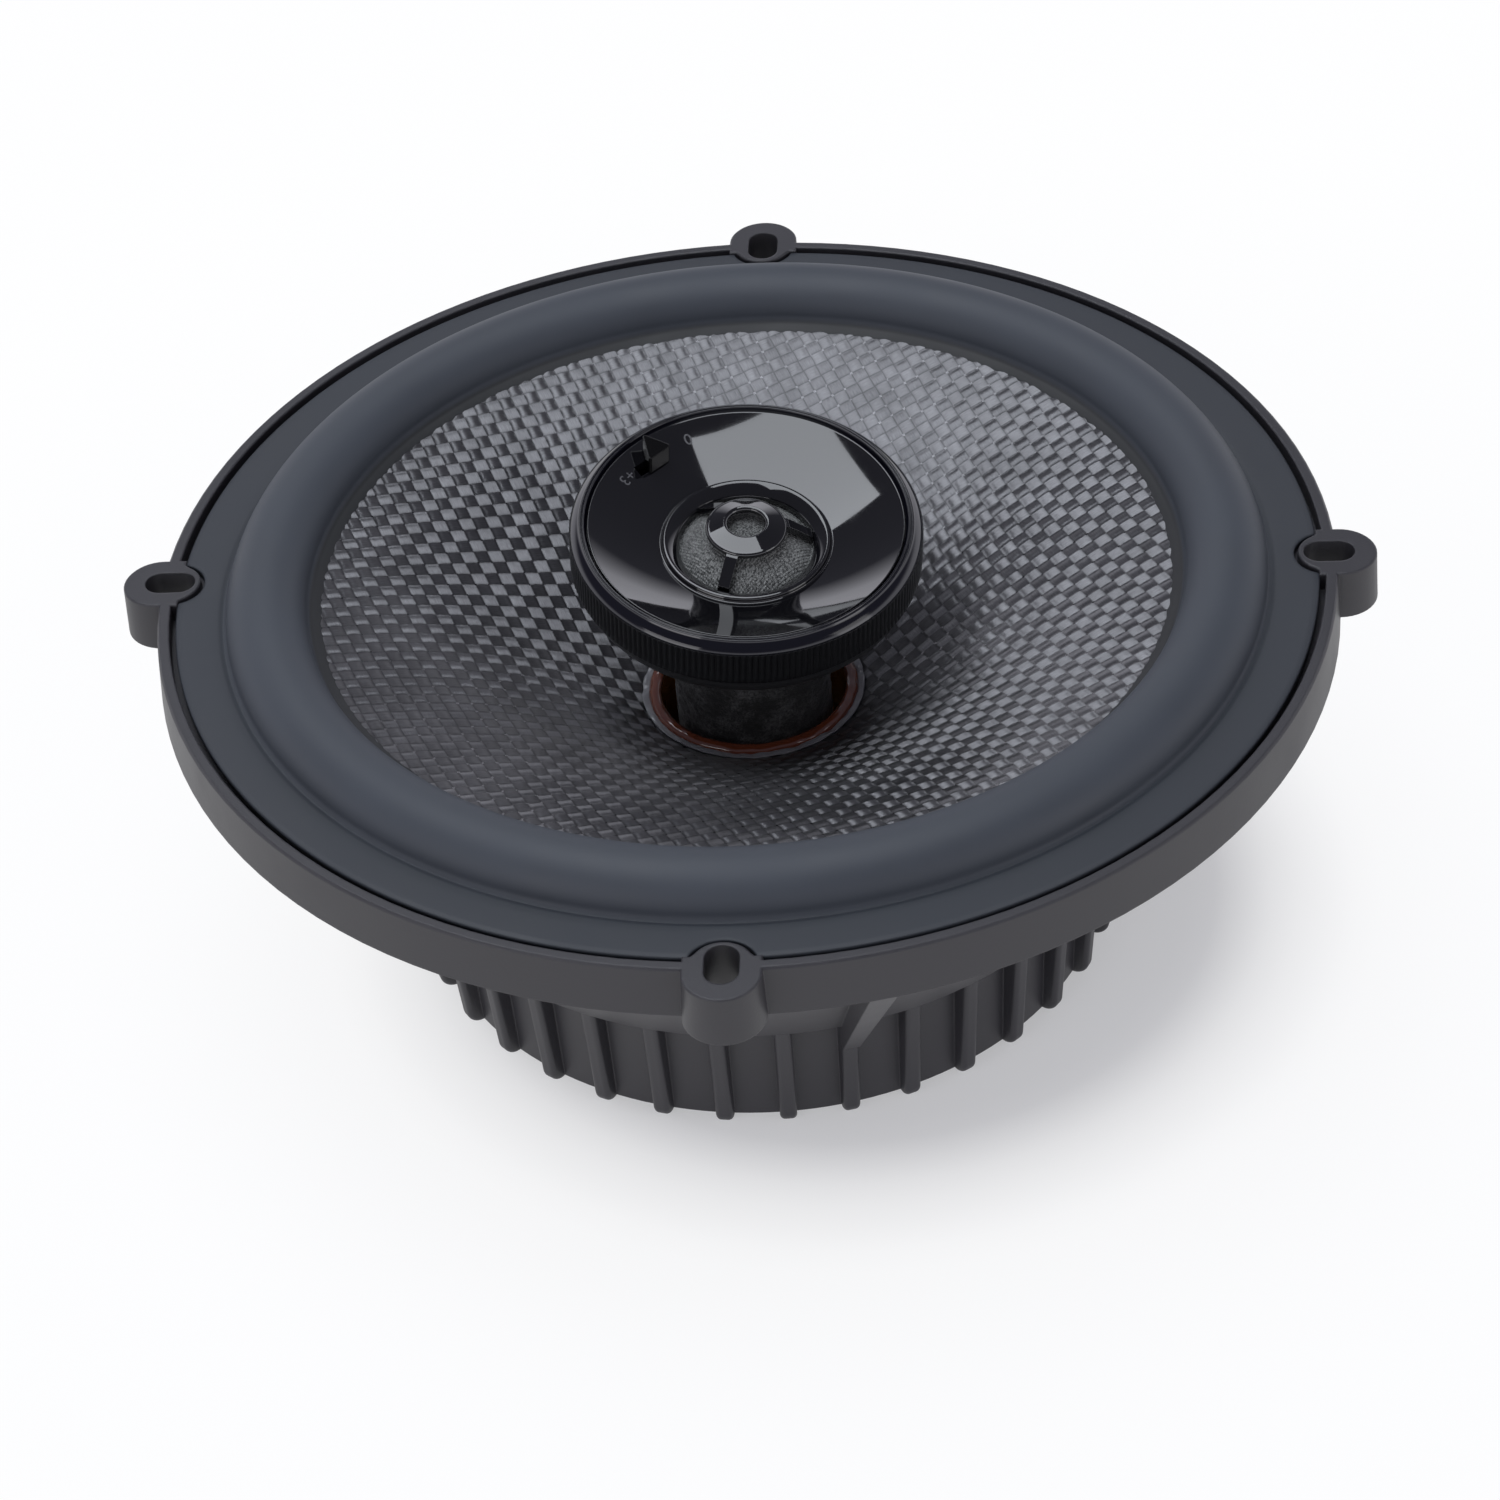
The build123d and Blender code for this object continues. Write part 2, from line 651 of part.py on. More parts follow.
def faceplate():
    under = PLATE_THICKNESS
    body = turned_deep([
        (DISH_R, DISH_EDGE_DEPTH),
        (LIP_R, DISH_FOOT_DEPTH),
        (LIP_R - 0.1, LIP_DEPTH + 0.2),
        (LIP_R - 0.5, LIP_DEPTH),
        (WELL_R + 0.5, DISH_FOOT_DEPTH + 0.4),
        (WELL_R, DISH_FOOT_DEPTH + 1.0),
        (WELL_R, WELL_DEPTH),
        (LIP_R, WELL_DEPTH),
        (LIP_R + 1.2, DISH_FOOT_DEPTH + under),
        (DISH_R, DISH_EDGE_DEPTH + under),
    ])
    return body - knob_slot()


def knob_frame(shape):
    """Turns a shape drawn round +X at the knob's radius to the knob's place."""
    return turn(shape, KNOB_ANGLE)


def knob_slot():
    """Slot through the dish for the level switch's stem, along the tangent."""
    slot_width = 1.5
    slot = block((KNOB_INNER_R + 0.5, KNOB_INNER_R + 0.5 + slot_width),
                 (-1.0, SWITCH_TRAVEL + 1.0), (depth(8), depth(-2)))
    return knob_frame(slot)


def level_knob():
    """Triangular knob pointing outwards, on a stem through the slot."""
    base = dish_depth(KNOB_INNER_R) - 0.3
    slope = 0.35
    tip_r = KNOB_INNER_R + KNOB_SIDE * math.sqrt(3) / 2
    outline = Polyline([
        (KNOB_INNER_R, -KNOB_SIDE / 2, depth(base)),
        (tip_r, 0, depth(base)),
        (KNOB_INNER_R, KNOB_SIDE / 2, depth(base)),
    ], close=True)
    prism = extrude(make_face(outline), amount=KNOB_HEIGHT + 2, dir=(0, 0, 1))
    underside = radial_web([
        (KNOB_INNER_R - 1, depth(base) - 1),
        (KNOB_INNER_R - 1, depth(dish_depth(KNOB_INNER_R - 1)) + 0.15),
        (tip_r + 1, depth(dish_depth(tip_r + 1)) + 0.15),
        (tip_r + 1, depth(base) - 1),
    ], 8)
    top = radial_web([
        (KNOB_INNER_R - 1, depth(base) + KNOB_HEIGHT - slope),
        (tip_r + 1, depth(base) + KNOB_HEIGHT + 0.9 + slope),
        (tip_r + 1, depth(base) + KNOB_HEIGHT + 8),
        (KNOB_INNER_R - 1, depth(base) + KNOB_HEIGHT + 8),
    ], 8)
    body = prism - underside - top
    body = fillet(body.edges().filter_by(Axis.Z), 0.3)
    stem = block((KNOB_INNER_R + 0.65, KNOB_INNER_R + 1.85), (-0.7, 0.7), (depth(5.2), depth(base) + 0.4))
    return knob_frame(body + stem)


def switch_body():
    """Slide switch under the dish, open at the top for the knob's stem."""
    x0 = KNOB_INNER_R - 1.2
    case = block((x0, x0 + 4.9), (-2.6, 4.6), (depth(8.6), depth(4.7)))
    cavity = block((x0 + 1.5, x0 + 3.4), (-1.2, SWITCH_TRAVEL + 1.2), (depth(6.8), depth(4)))
    return knob_frame(case - cavity)


def dome_guard():
    """Round button over the dome, held by three sloping spokes."""
    crest_r = HUB_HOLE_R + 0.55
    hub = turned_edges([
        arc_through((HUB_HOLE_R, depth(1.0)), (HUB_HOLE_R + 0.15, depth(0.6)), (crest_r, depth(0.45))),
        line((crest_r, depth(0.45)), (HUB_R - 0.5, depth(1.2))),
        arc_through((HUB_R - 0.5, depth(1.2)), (HUB_R - 0.1, depth(1.4)), (HUB_R, depth(1.75))),
        arc_through((HUB_R, depth(1.75)), (HUB_R - 0.2, depth(2.1)), (HUB_R - 0.8, depth(2.1))),
        line((HUB_R - 0.8, depth(2.1)), (HUB_HOLE_R + 0.3, depth(1.5))),
        line((HUB_HOLE_R + 0.3, depth(1.5)), (HUB_HOLE_R, depth(1.0))),
    ])
    spoke = radial_web([
        (HUB_R - 0.8, depth(1.35)),
        (HUB_R + 0.3, depth(1.7)),
        (WELL_R - 0.05, depth(4.2)),
        (WELL_R - 0.05, depth(5.2)),
        (HUB_R - 0.3, depth(2.4)),
        (HUB_R - 0.8, depth(2.0)),
    ], SPOKE_WIDTH)
    return hub + [turn(spoke, angle) for angle in SPOKE_ANGLES]


def dome():
    """Thin spherical cap with a flat collar."""
    rise = DOME_BASE_DEPTH - DOME_TOP_DEPTH
    sphere_r = (DOME_R**2 + rise**2) / (2 * rise)
    centre = Pos(0, 0, depth(DOME_TOP_DEPTH + sphere_r))
    shell = centre * (Sphere(sphere_r) - Sphere(sphere_r - DOME_THICKNESS))
    cap = shell & disc(DOME_R + 1, depth(DOME_BASE_DEPTH + DOME_THICKNESS), depth(0))
    collar = ring_deep(DOME_COLLAR_R, 9.2, DOME_BASE_DEPTH, DOME_BASE_DEPTH + DOME_THICKNESS)
    return cap + collar


def dome_suspension():
    """Small half-roll between the dome's collar and the pot."""
    t = DOME_THICKNESS
    base = DOME_BASE_DEPTH + t + 0.05
    return turned_edges([
        line((9.3, depth(base)), (9.3, depth(base + t))),
        arc_through((9.3, depth(base + t)), (9.8, depth(base + t - 0.3)), (10.3, depth(base + t))),
        line((10.3, depth(base + t)), (11.3, depth(base + t))),
        line((11.3, depth(base + t)), (11.3, depth(base))),
        line((11.3, depth(base)), (10.3, depth(base))),
        arc_through((10.3, depth(base)), (9.8, depth(base - 0.3)), (9.3, depth(base))),
    ])


def ring_deep(inner, outer, shallow, deep):
    return ring(inner, outer, depth(deep), depth(shallow))


def tweeter_pot():
    top = DOME_BASE_DEPTH + 2 * DOME_THICKNESS + 0.05
    return ring_deep(9.5, 11.3, top, 8.9) + disc(11.3, depth(9.9), depth(8.9))


def tweeter_housing():
    """Rear shell: rim wall, shallow bowl, pot seat and the socket round the ball."""
    socket_r = BALL_R + BALL_CLEARANCE
    skirt = -2.9
    mouth_r = math.sqrt(socket_r**2 - skirt**2)
    roof = BALL_FLAT + 0.8
    roof_r = math.sqrt(socket_r**2 - roof**2)
    floor_top = 3.3
    board_seat = 4.5
    rim_top = depth(1.7)
    return turned_edges([
        line((RING_BORE_R - 0.1, 7.3), (22.9, 7.3)),
        arc_through((22.9, 7.3), (21.6, 4.4), (18.0, 3.0)),
        line((18.0, 3.0), (8.0, 2.3)),
        arc_through((8.0, 2.3), (6.8, 1.8), (6.3, 0.6)),
        line((6.3, 0.6), (5.6, skirt)),
        line((5.6, skirt), (mouth_r, skirt)),
        arc_through((mouth_r, skirt), (socket_r, 0), (roof_r, roof)),
        line((roof_r, roof), (1.6, roof)),
        line((1.6, roof), (1.6, 3.1)),
        line((1.6, 3.1), (9.5, 3.1)),
        line((9.5, 3.1), (9.5, depth(9.9))),
        line((9.5, depth(9.9)), (11.3, depth(9.9))),
        line((11.3, depth(9.9)), (11.3, floor_top)),
        line((11.3, floor_top), (19.6, 3.9)),
        line((19.6, 3.9), (19.6, board_seat)),
        line((19.6, board_seat), (20.7, board_seat)),
        line((20.7, board_seat), (20.7, rim_top)),
        line((20.7, rim_top), (RING_BORE_R - 0.1, rim_top)),
        line((RING_BORE_R - 0.1, rim_top), (RING_BORE_R - 0.1, 7.3)),
    ]) - turn(block((5, 13), (-1.0, 1.0), (3.2, 4.6)), CABLE_ANGLE)


def head_lead():
    """Twin lead from the ball up into the head and out to the switch board."""
    points = [(0, 0, 0.5), (0, 0, 3.62), (15.2, 0, 3.95)]
    return turn(tube_along(points, 0.35, [0.9]), CABLE_ANGLE)


def switch_board():
    return ring(11.6, 20.6, 4.5, 5.3)


def board_parts():
    """Capacitor and resistor that stand on the switch board."""
    can = Pos(16.0, 0, 7.3) * Rot(90, 0, 0) * Cylinder(1.9, 8.5)
    capacitor = turn(fillet(can.edges(), 0.35), 20)
    body = Pos(16.0, 0, 6.6) * Rot(90, 0, 0) * Cylinder(1.2, 6.0)
    resistor = turn(fillet(body.edges(), 0.4), 250)
    return capacitor, resistor


def pivot_ball():
    """Ball with a flat top, a flared wire bore and a shank through the post's roof."""
    body = Sphere(BALL_R)
    body -= block((-6, 6), (-6, 6), (BALL_FLAT, 6))
    shank_bottom = POST_TOP - POST_WALL - 1.6 - PIVOT_Z
    body += disc(SHANK_R, shank_bottom, -BALL_R + 1.2)
    body -= disc(WIRE_BORE_R, shank_bottom - 1, 5)
    flare = Cone(WIRE_BORE_R, 2.6, BALL_FLAT - 0.1, align=(Align.CENTER, Align.CENTER, Align.MIN))
    flare = Pos(0, 0, 0.2) * flare
    return (body - flare).moved(Location((0, 0, PIVOT_Z)))


def pivot_clip():
    """Retaining ring pressed on the shank under the post's roof."""
    top = POST_TOP - POST_WALL - 0.3
    return ring(SHANK_R + 0.02, SHANK_R + 1.6, top - 0.8, top)


# ---- terminals, drawn on +X and turned to their place ----
def terminal_block():
    half = TERMINAL_SPACING / 2
    face = PAD_FACE_R + 0.02
    body = block((face, face + BLOCK_THICKNESS), (-12, 12), (-14.6, PAD_TOP - 0.4))
    body = fillet(body.edges().filter_by(Axis.X), 1.5)
    body += block((face, face + BLOCK_THICKNESS + 2.2), (-0.8, 0.8), (-15.8, PAD_TOP - 1.5))
    hole = Rot(0, 90, 0) * Cylinder(RIVET_R + 0.05, 20)
    body -= [Pos(PAD_FACE_R, y, TERMINAL_Z) * hole for y in (-half, half)]
    return turn(body, TERMINAL_ANGLE)


def terminal_tab(side, width):
    """Flat blade riveted to the block, pointing down, with a locking hole."""
    y = side * TERMINAL_SPACING / 2
    x0 = PAD_FACE_R + BLOCK_THICKNESS + 0.04
    blade = block((x0, x0 + 0.8), (y - width / 2, y + width / 2), (-22.5, PAD_TOP - 1.6))
    blade = chamfer(blade.edges().filter_by(Axis.X).group_by(Axis.Z)[0], 0.9)
    blade -= Pos(x0, y, -19.2) * Rot(0, 90, 0) * Cylinder(0.85, 5)
    blade -= Pos(x0, y, TERMINAL_Z) * Rot(0, 90, 0) * Cylinder(RIVET_R + 0.05, 5)
    return turn(blade, TERMINAL_ANGLE)


def terminal_rivets():
    half = TERMINAL_SPACING / 2
    start = bowl_radius(TERMINAL_Z, inner=True) - 1.5
    end = PAD_FACE_R + BLOCK_THICKNESS + 0.86
    shapes = []
    for y in (-half, half):
        shank = Pos(start, y, TERMINAL_Z) * Rot(0, 90, 0) * Cylinder(
            RIVET_R, end - start, align=(Align.CENTER, Align.CENTER, Align.MIN))
        rivet_head = Pos(end, y, TERMINAL_Z) * Rot(0, 90, 0) * Cylinder(
            2.1, 0.8, align=(Align.CENTER, Align.CENTER, Align.MIN))
        shapes.append(turn(shank + rivet_head, TERMINAL_ANGLE))
    return Compound(shapes)


def main():
    former_outer = FORMER_R + FORMER_THICKNESS
    collar_inner = former_outer + GLUE_GAP
    coil_top_depth = DOME_BASE_DEPTH + DOME_THICKNESS

    save("basket_frame", basket_frame())
    save("surround", surround())
    save("cone", cone_with_holes())
    save("neck_glue", neck_glue())
    save("voice_coil_former", ring(FORMER_R, former_outer, FORMER_BOTTOM, FORMER_TOP))
    collar_outer = collar_inner + COLLAR_THICKNESS
    save("former_collar", ring(collar_inner, collar_outer, FORMER_TOP - COLLAR_LENGTH, FORMER_TOP))
    save("voice_coil", ring(collar_inner, collar_inner + COIL_THICKNESS, FORMER_BOTTOM + 0.5, COIL_TOP))
    save("spider", spider())
    save("lead_eyelets", lead_eyelets())
    save("tinsel_lead_positive", tinsel_lead(1))
    save("tinsel_lead_negative", tinsel_lead(-1))

    save("top_plate", top_plate())
    save("ferrite_magnet", ring(MAGNET_BORE_R, MAGNET_R, MAGNET_BOTTOM, TOP_PLATE_BOTTOM))
    save("t_yoke", t_yoke())
    save("rear_cap", rear_cap())
    save("motor_screws", motor_screws())

    save("tweeter_post", tweeter_post())
    save("post_felt", ring(POST_R + 0.02, POST_R + FELT_THICKNESS, POLE_TOP + 0.2, POST_TOP - 1.4))
    save("post_nut", post_nut())
    save("post_washer", post_washer())
    save("tweeter_cable", tweeter_cable())
    save("pivot_ball", pivot_ball())
    save("pivot_clip", pivot_clip())

    capacitor, resistor = board_parts()
    save("trim_ring", head(trim_ring()))
    save("tweeter_faceplate", head(faceplate()))
    save("dome_guard", head(dome_guard()))
    save("tweeter_housing", head(tweeter_housing()))
    save("tweeter_pot", head(tweeter_pot()))
    save("tweeter_magnet", head(ring_deep(1.5, 7.6, 7.0, 8.9)))
    save("tweeter_pole_plate", head(ring_deep(1.5, POLE_PLATE_R, 5.9, 7.0)))
    save("dome_damper", head(ring_deep(1.0, 6.0, 4.9, 5.9)))
    save("tweeter_dome", head(dome()))
    save("dome_suspension", head(dome_suspension()))
    save("tweeter_coil_former", head(ring_deep(8.4, 8.5, coil_top_depth, 8.0)))
    save("tweeter_coil", head(ring_deep(8.55, 8.9, 6.4, 7.9)))
    save("level_switch_knob", head(level_knob()))
    save("level_switch_body", head(switch_body()))
    save("switch_board", head(switch_board()))
    save("crossover_capacitor", head(capacitor))
    save("level_resistor", head(resistor))
    save("head_lead", head(head_lead()))

    save("terminal_bracket", terminal_bracket())
    save("terminal_block", terminal_block())
    save("terminal_tab_positive", terminal_tab(1, 6.3))
    save("terminal_tab_negative", terminal_tab(-1, 4.8))
    save("terminal_rivets", terminal_rivets())


if __name__ == "__main__":
    main()
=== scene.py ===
import math

import bpy
import numpy as np
from mathutils import Matrix, Quaternion, Vector, noise


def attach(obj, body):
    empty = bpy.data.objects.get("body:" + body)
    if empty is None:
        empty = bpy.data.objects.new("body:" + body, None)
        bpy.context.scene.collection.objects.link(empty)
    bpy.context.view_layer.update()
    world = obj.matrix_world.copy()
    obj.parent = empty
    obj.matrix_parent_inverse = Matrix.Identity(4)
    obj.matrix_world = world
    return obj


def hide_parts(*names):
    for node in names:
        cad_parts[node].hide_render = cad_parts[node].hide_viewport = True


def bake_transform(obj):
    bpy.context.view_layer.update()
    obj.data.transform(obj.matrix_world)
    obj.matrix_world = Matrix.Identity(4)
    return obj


# Coaxial car speaker: materials, fine meshes, light and camera. Lengths in this script are
# millimetres unless a name ends in _M; meshes are scaled to metres when they are made.
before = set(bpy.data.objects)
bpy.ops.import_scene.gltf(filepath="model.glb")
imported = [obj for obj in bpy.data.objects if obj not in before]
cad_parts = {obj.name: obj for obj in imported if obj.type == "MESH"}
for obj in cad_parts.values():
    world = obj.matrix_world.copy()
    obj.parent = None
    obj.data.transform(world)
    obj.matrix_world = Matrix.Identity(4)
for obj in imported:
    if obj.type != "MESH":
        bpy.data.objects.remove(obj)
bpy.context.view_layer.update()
MM = 0.001

# ---- shape constants, the same as the CAD model's ----
PIVOT_Z = 2.55
PIVOT_TO_RIM = 14.17
TILT = math.radians(8.8)
TILT_TOWARDS = math.radians(-66.0)
CONE_R = 57.7
CONE_EDGE_Z = 6.25
NECK_R = 14.0
NECK_Z = -14.35
CONE_FLARE = 2.2
FLOOR_Z = -48.5
TOW = 1.92
CLOTH_TURN = math.radians(25.0)
WEAVE_LIFT = 0.13
CLOTH_SINK = 0.08
CLOTH_FADE = 0.8
CLOTH_THICKNESS = 0.5
BOWL_TOP_R = 72.5
BOWL_SLOPE = 0.701
BOWL_WALL = 2.2
BOWL_SLANT = 1.2213
TERMINAL_Z = -8.8
EYELET_R = 30.0
SPIDER_Z = -20.6
SPIDER_R = 40.0
SPIDER_LEDGE_R = 36.5
SPIDER_THICKNESS = 0.4


# ---- meshes ----
def add_object(name, data):
    thing = bpy.data.objects.new(name, data)
    bpy.context.scene.collection.objects.link(thing)
    return thing


def evaluated_mesh(thing):
    """The mesh that an object's curve or modifiers make."""
    bpy.context.view_layer.update()
    return bpy.data.meshes.new_from_object(thing.evaluated_get(bpy.context.evaluated_depsgraph_get()))


def make_object(name, vertices, faces, uvs=None):
    mesh = bpy.data.meshes.new(name)
    mesh.from_pydata([tuple(c * MM for c in v) for v in vertices], [], faces)
    mesh.polygons.foreach_set("use_smooth", [True] * len(mesh.polygons))
    if uvs is not None:
        layer = mesh.uv_layers.new(name="cloth")
        corner = np.zeros(len(mesh.loops), dtype=np.int32)
        mesh.loops.foreach_get("vertex_index", corner)
        layer.data.foreach_set("uv", np.asarray(uvs, dtype=np.float32)[corner].ravel())
    mesh.update()
    return add_object(name, mesh)


def head_matrix():
    axis = Vector((-math.sin(TILT_TOWARDS), math.cos(TILT_TOWARDS), 0))
    return Matrix.Translation((0, 0, PIVOT_Z)) @ Matrix.Rotation(TILT, 4, axis)


HEAD = head_matrix()


def rounded(points, radius, steps=4):
    """Closed outline with each corner rounded, and a point close before and after each bend."""
    result = []
    count = len(points)
    for i in range(count):
        before = Vector(points[i - 1])
        here = Vector(points[i])
        after = Vector(points[(i + 1) % count])
        back = before - here
        ahead = after - here
        bend = back.angle(ahead)
        if bend > math.radians(172):
            result.append(tuple(here))
            continue
        reach = min(radius, 0.42 * back.length, 0.42 * ahead.length)
        back.normalize()
        ahead.normalize()
        hold = min(1.12, 0.48 * min((before - here).length, (after - here).length) / reach)
        result.append(tuple(here + back * reach * hold))
        for k in range(steps + 1):
            t = k / steps
            a = here + back * reach * (1 - t)
            b = here + ahead * reach * t
            result.append(tuple(a.lerp(b, t)))
        result.append(tuple(here + ahead * reach * hold))
    return result


def lathe(name, outline, segments=256, shift=None, matrix=None, angles=None):
    """Closed ring turned about Z. shift(r, z, angle) moves a point of the outline."""
    if angles is None:
        angles = [2 * math.pi * k / segments for k in range(segments)]
    vertices = []
    for angle in angles:
        c, s = math.cos(angle), math.sin(angle)
        for r, z in outline:
            rr, zz = shift(r, z, angle) if shift else (r, z)
            v = Vector((rr * c, rr * s, zz))
            vertices.append(matrix @ v if matrix else v)
    rows = len(outline)
    turns = len(angles)
    faces = []
    for k in range(turns):
        a = k * rows
        b = ((k + 1) % turns) * rows
        for i in range(rows):
            j = (i + 1) % rows
            faces.append((a + i, a + j, b + j, b + i))
    pairs = [(outline[i - 1], outline[i]) for i in range(rows)]
    area = sum(a[0] * b[1] - b[0] * a[1] for a, b in pairs)
    if area > 0:
        faces = [tuple(reversed(f)) for f in faces]
    return make_object(name, vertices, faces)


def cone_height(radius):
    """Height of the cone's upper face, the same arc as the CAD's; takes a number or an array."""
    part = (radius - NECK_R) / (CONE_R - NECK_R)
    chord = NECK_Z + part * (CONE_EDGE_Z - NECK_Z)
    return chord + CONE_FLARE * 4 * part * (1 - part)


def smooth(part):
    part = min(max(part, 0.0), 1.0)
    return part * part * (3 - 2 * part)


def radial_blend(thing):
    """Bakes a ring's placement into its mesh and reads its points."""
    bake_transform(thing)
    points = np.zeros(len(thing.data.vertices) * 3, dtype=np.float64)
    thing.data.vertices.foreach_get("co", points)
    points = points.reshape(-1, 3)


# ---- materials ----
# The colour sockets of a Mix node, which share their names with its number sockets.
MIX_A, MIX_B, MIX_RESULT = 6, 7, 2
# Nearly all of a noise texture's values lie between these.
NOISE_RANGE = (0.3, 0.7)


class Paint:
    """A Principled material and short ways to add noise, bump and rounded edges to it."""

    def __init__(self, name, color, rough, **inputs):
        self.material = bpy.data.materials.new(name)
        self.material.use_nodes = True
        self.tree = self.material.node_tree
        self.shader = self.tree.nodes["Principled BSDF"]
        self.put("Base Color", (*color, 1))
        self.put("Roughness", rough)
        for key, value in inputs.items():
            self.put(key.replace("_", " "), value)

    def put(self, socket, value):
        self.shader.inputs[socket].default_value = value

    def node(self, kind, **settings):
        made = self.tree.nodes.new(kind)
        for key, value in settings.items():
            setattr(made, key, value)
        return made

    def link(self, output, target):
        self.tree.links.new(output, target)

    def math(self, operation, a, b=None, c=None):
        made = self.node("ShaderNodeMath", operation=operation)
        for slot, value in enumerate((a, b, c)):
            if value is None:
                continue
            if isinstance(value, (int, float)):
                made.inputs[slot].default_value = value
            else:
                self.link(value, made.inputs[slot])
        return made.outputs[0]

    def span(self, value, low, high, to_low, to_high):
        """Maps low..high to to_low..to_high and holds the ends."""
        made = self.node("ShaderNodeMapRange")
        self.link(value, made.inputs["Value"])
        ends = (("From Min", low), ("From Max", high), ("To Min", to_low), ("To Max", to_high))
        for socket, number in ends:
            made.inputs[socket].default_value = number
        return made.outputs["Result"]

    def coords(self, stretch=None):
        place = self.node("ShaderNodeTexCoord").outputs["Object"]
        if stretch is None:
            return place
        mapping = self.node("ShaderNodeMapping")
        mapping.inputs["Scale"].default_value = stretch
        self.link(place, mapping.inputs["Vector"])
        return mapping.outputs["Vector"]

    def noise(self, size, detail=2.0, stretch=None, rough=0.5):
        """Noise whose features are about size millimetres across."""
        made = self.node("ShaderNodeTexNoise")
        made.inputs["Scale"].default_value = 1 / (size * MM)
        made.inputs["Detail"].default_value = detail
        made.inputs["Roughness"].default_value = rough
        self.link(self.coords(stretch), made.inputs["Vector"])
        return made.outputs["Fac"]

    def ramp(self, value, stops):
        """Grey over value, from (place, share) stops."""
        made = self.node("ShaderNodeValToRGB")
        self.link(value, made.inputs[0])
        marks = made.color_ramp.elements
        for n, (place, share) in enumerate(stops):
            mark = marks[n] if n < 2 else marks.new(place)
            mark.position = place
            mark.color = (share, share, share, 1)
        return made.outputs["Color"]

    def tint(self, factor, first, second):
        """Base colour from first to second as factor goes from 0 to 1."""
        made = self.node("ShaderNodeMix", data_type="RGBA")
        self.link(factor, made.inputs["Factor"])
        made.inputs[MIX_A].default_value = (*first, 1)
        made.inputs[MIX_B].default_value = (*second, 1)
        self.link(made.outputs[MIX_RESULT], self.shader.inputs["Base Color"])

    def rough(self, factor, low, high):
        """Roughness from low to high over a noise's usual range."""
        self.link(self.span(factor, *NOISE_RANGE, low, high), self.shader.inputs["Roughness"])

    def bump(self, height, distance, strength=1.0, normal=None):
        made = self.node("ShaderNodeBump")
        made.inputs["Distance"].default_value = distance * MM
        made.inputs["Strength"].default_value = strength
        self.link(height, made.inputs["Height"])
        if normal is not None:
            self.link(normal, made.inputs["Normal"])
        self.link(made.outputs["Normal"], self.shader.inputs["Normal"])

    def soft_edges(self, radius):
        """Rounds the shading of edges by this radius in millimetres."""
        made = self.node("ShaderNodeBevel", samples=6)
        made.inputs["Radius"].default_value = radius * MM
        self.link(made.outputs["Normal"], self.shader.inputs["Normal"])
        return made.outputs["Normal"]


def shades(color, low, high):
    return tuple(c * low for c in color), tuple(c * high for c in color)


def moulded(name, color, rough, grain=0.35, depth=0.02, edge=0.25, spread=0.06, **inputs):
    """Moulded or coated surface: fine grain, slow colour drift, uneven gloss and rounded edges."""
    paint = Paint(name, color, rough, **inputs)
    fine = paint.noise(grain, 3.0)
    slow = paint.noise(14.0, 3.0)
    dark, light = shades(color, 0.82, 1.18)
    paint.tint(slow, dark, light)
    paint.rough(slow, rough - spread, rough + spread)
    paint.bump(fine, depth, 0.6, paint.soft_edges(edge))
    return paint


def plated(name, color, rough, edge=0.2, **inputs):
    """Plated or machined metal with fine turning marks and dull patches."""
    paint = Paint(name, color, rough, Metallic=1.0, **inputs)
    marks = paint.noise(0.5, 4.0, stretch=(1, 1, 6))
    slow = paint.noise(6.0, 2.0)
    dark, light = shades(color, 0.75, 1.12)
    paint.tint(slow, dark, light)
    paint.rough(marks, rough - 0.07, rough + 0.12)
    paint.bump(marks, 0.01, 0.5, paint.soft_edges(edge))
    return paint


def woven(name, color, rough, pitch, depth=0.05, **inputs):
    """Fine cloth: two crossed sets of threads as colour and bump."""
    paint = Paint(name, color, rough, **inputs)
    split = paint.node("ShaderNodeSeparateXYZ")
    paint.link(paint.coords(), split.inputs[0])
    rate = 2 * math.pi / (pitch * MM)
    across = paint.math("SINE", paint.math("MULTIPLY", split.outputs["X"], rate))
    along = paint.math("SINE", paint.math("MULTIPLY", split.outputs["Y"], rate))
    cloth = paint.math("MULTIPLY", across, along)
    fuzz = paint.noise(pitch * 0.6, 2.0)
    height = paint.math("ADD", cloth, paint.math("MULTIPLY", fuzz, 0.9))
    dark, light = shades(color, 0.55, 1.35)
    paint.tint(paint.span(height, -0.8, 1.6, 0, 1), dark, light)
    paint.rough(fuzz, rough - 0.08, rough + 0.08)
    paint.bump(height, depth, 0.8)
    return paint


def coat(names, paint):
    for name in names:
        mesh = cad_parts[name].data
        mesh.materials.clear()
        mesh.materials.append(paint.material)
        mesh.polygons.foreach_set("use_smooth", [True] * len(mesh.polygons))


def dress(thing, paint, body, slot, *nodes):
    """Finishes a piece: its material, the CAD nodes it stands for, and the body it rides on."""
    thing.data.materials.append(paint.material)
    if nodes:
        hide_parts(*nodes)
    if body:
        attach(thing, body)


# ---- cone cloth ----
def weave_height(u, v):
    """Height of a plain weave at tow coordinates u, v: each top tow crowns and dives at its ends."""
    i = np.floor(u)
    j = np.floor(v)
    fu = u - i - 0.5
    fv = v - j - 0.5
    along_v = ((i + j) % 2) == 0
    a = np.where(along_v, fv, fu)
    b = np.where(along_v, fu, fv)
    crown = 0.1 + 0.9 * np.cos(math.pi * a)
    side = 1 - 0.3 * (2 * np.abs(b)) ** 4
    return crown * side


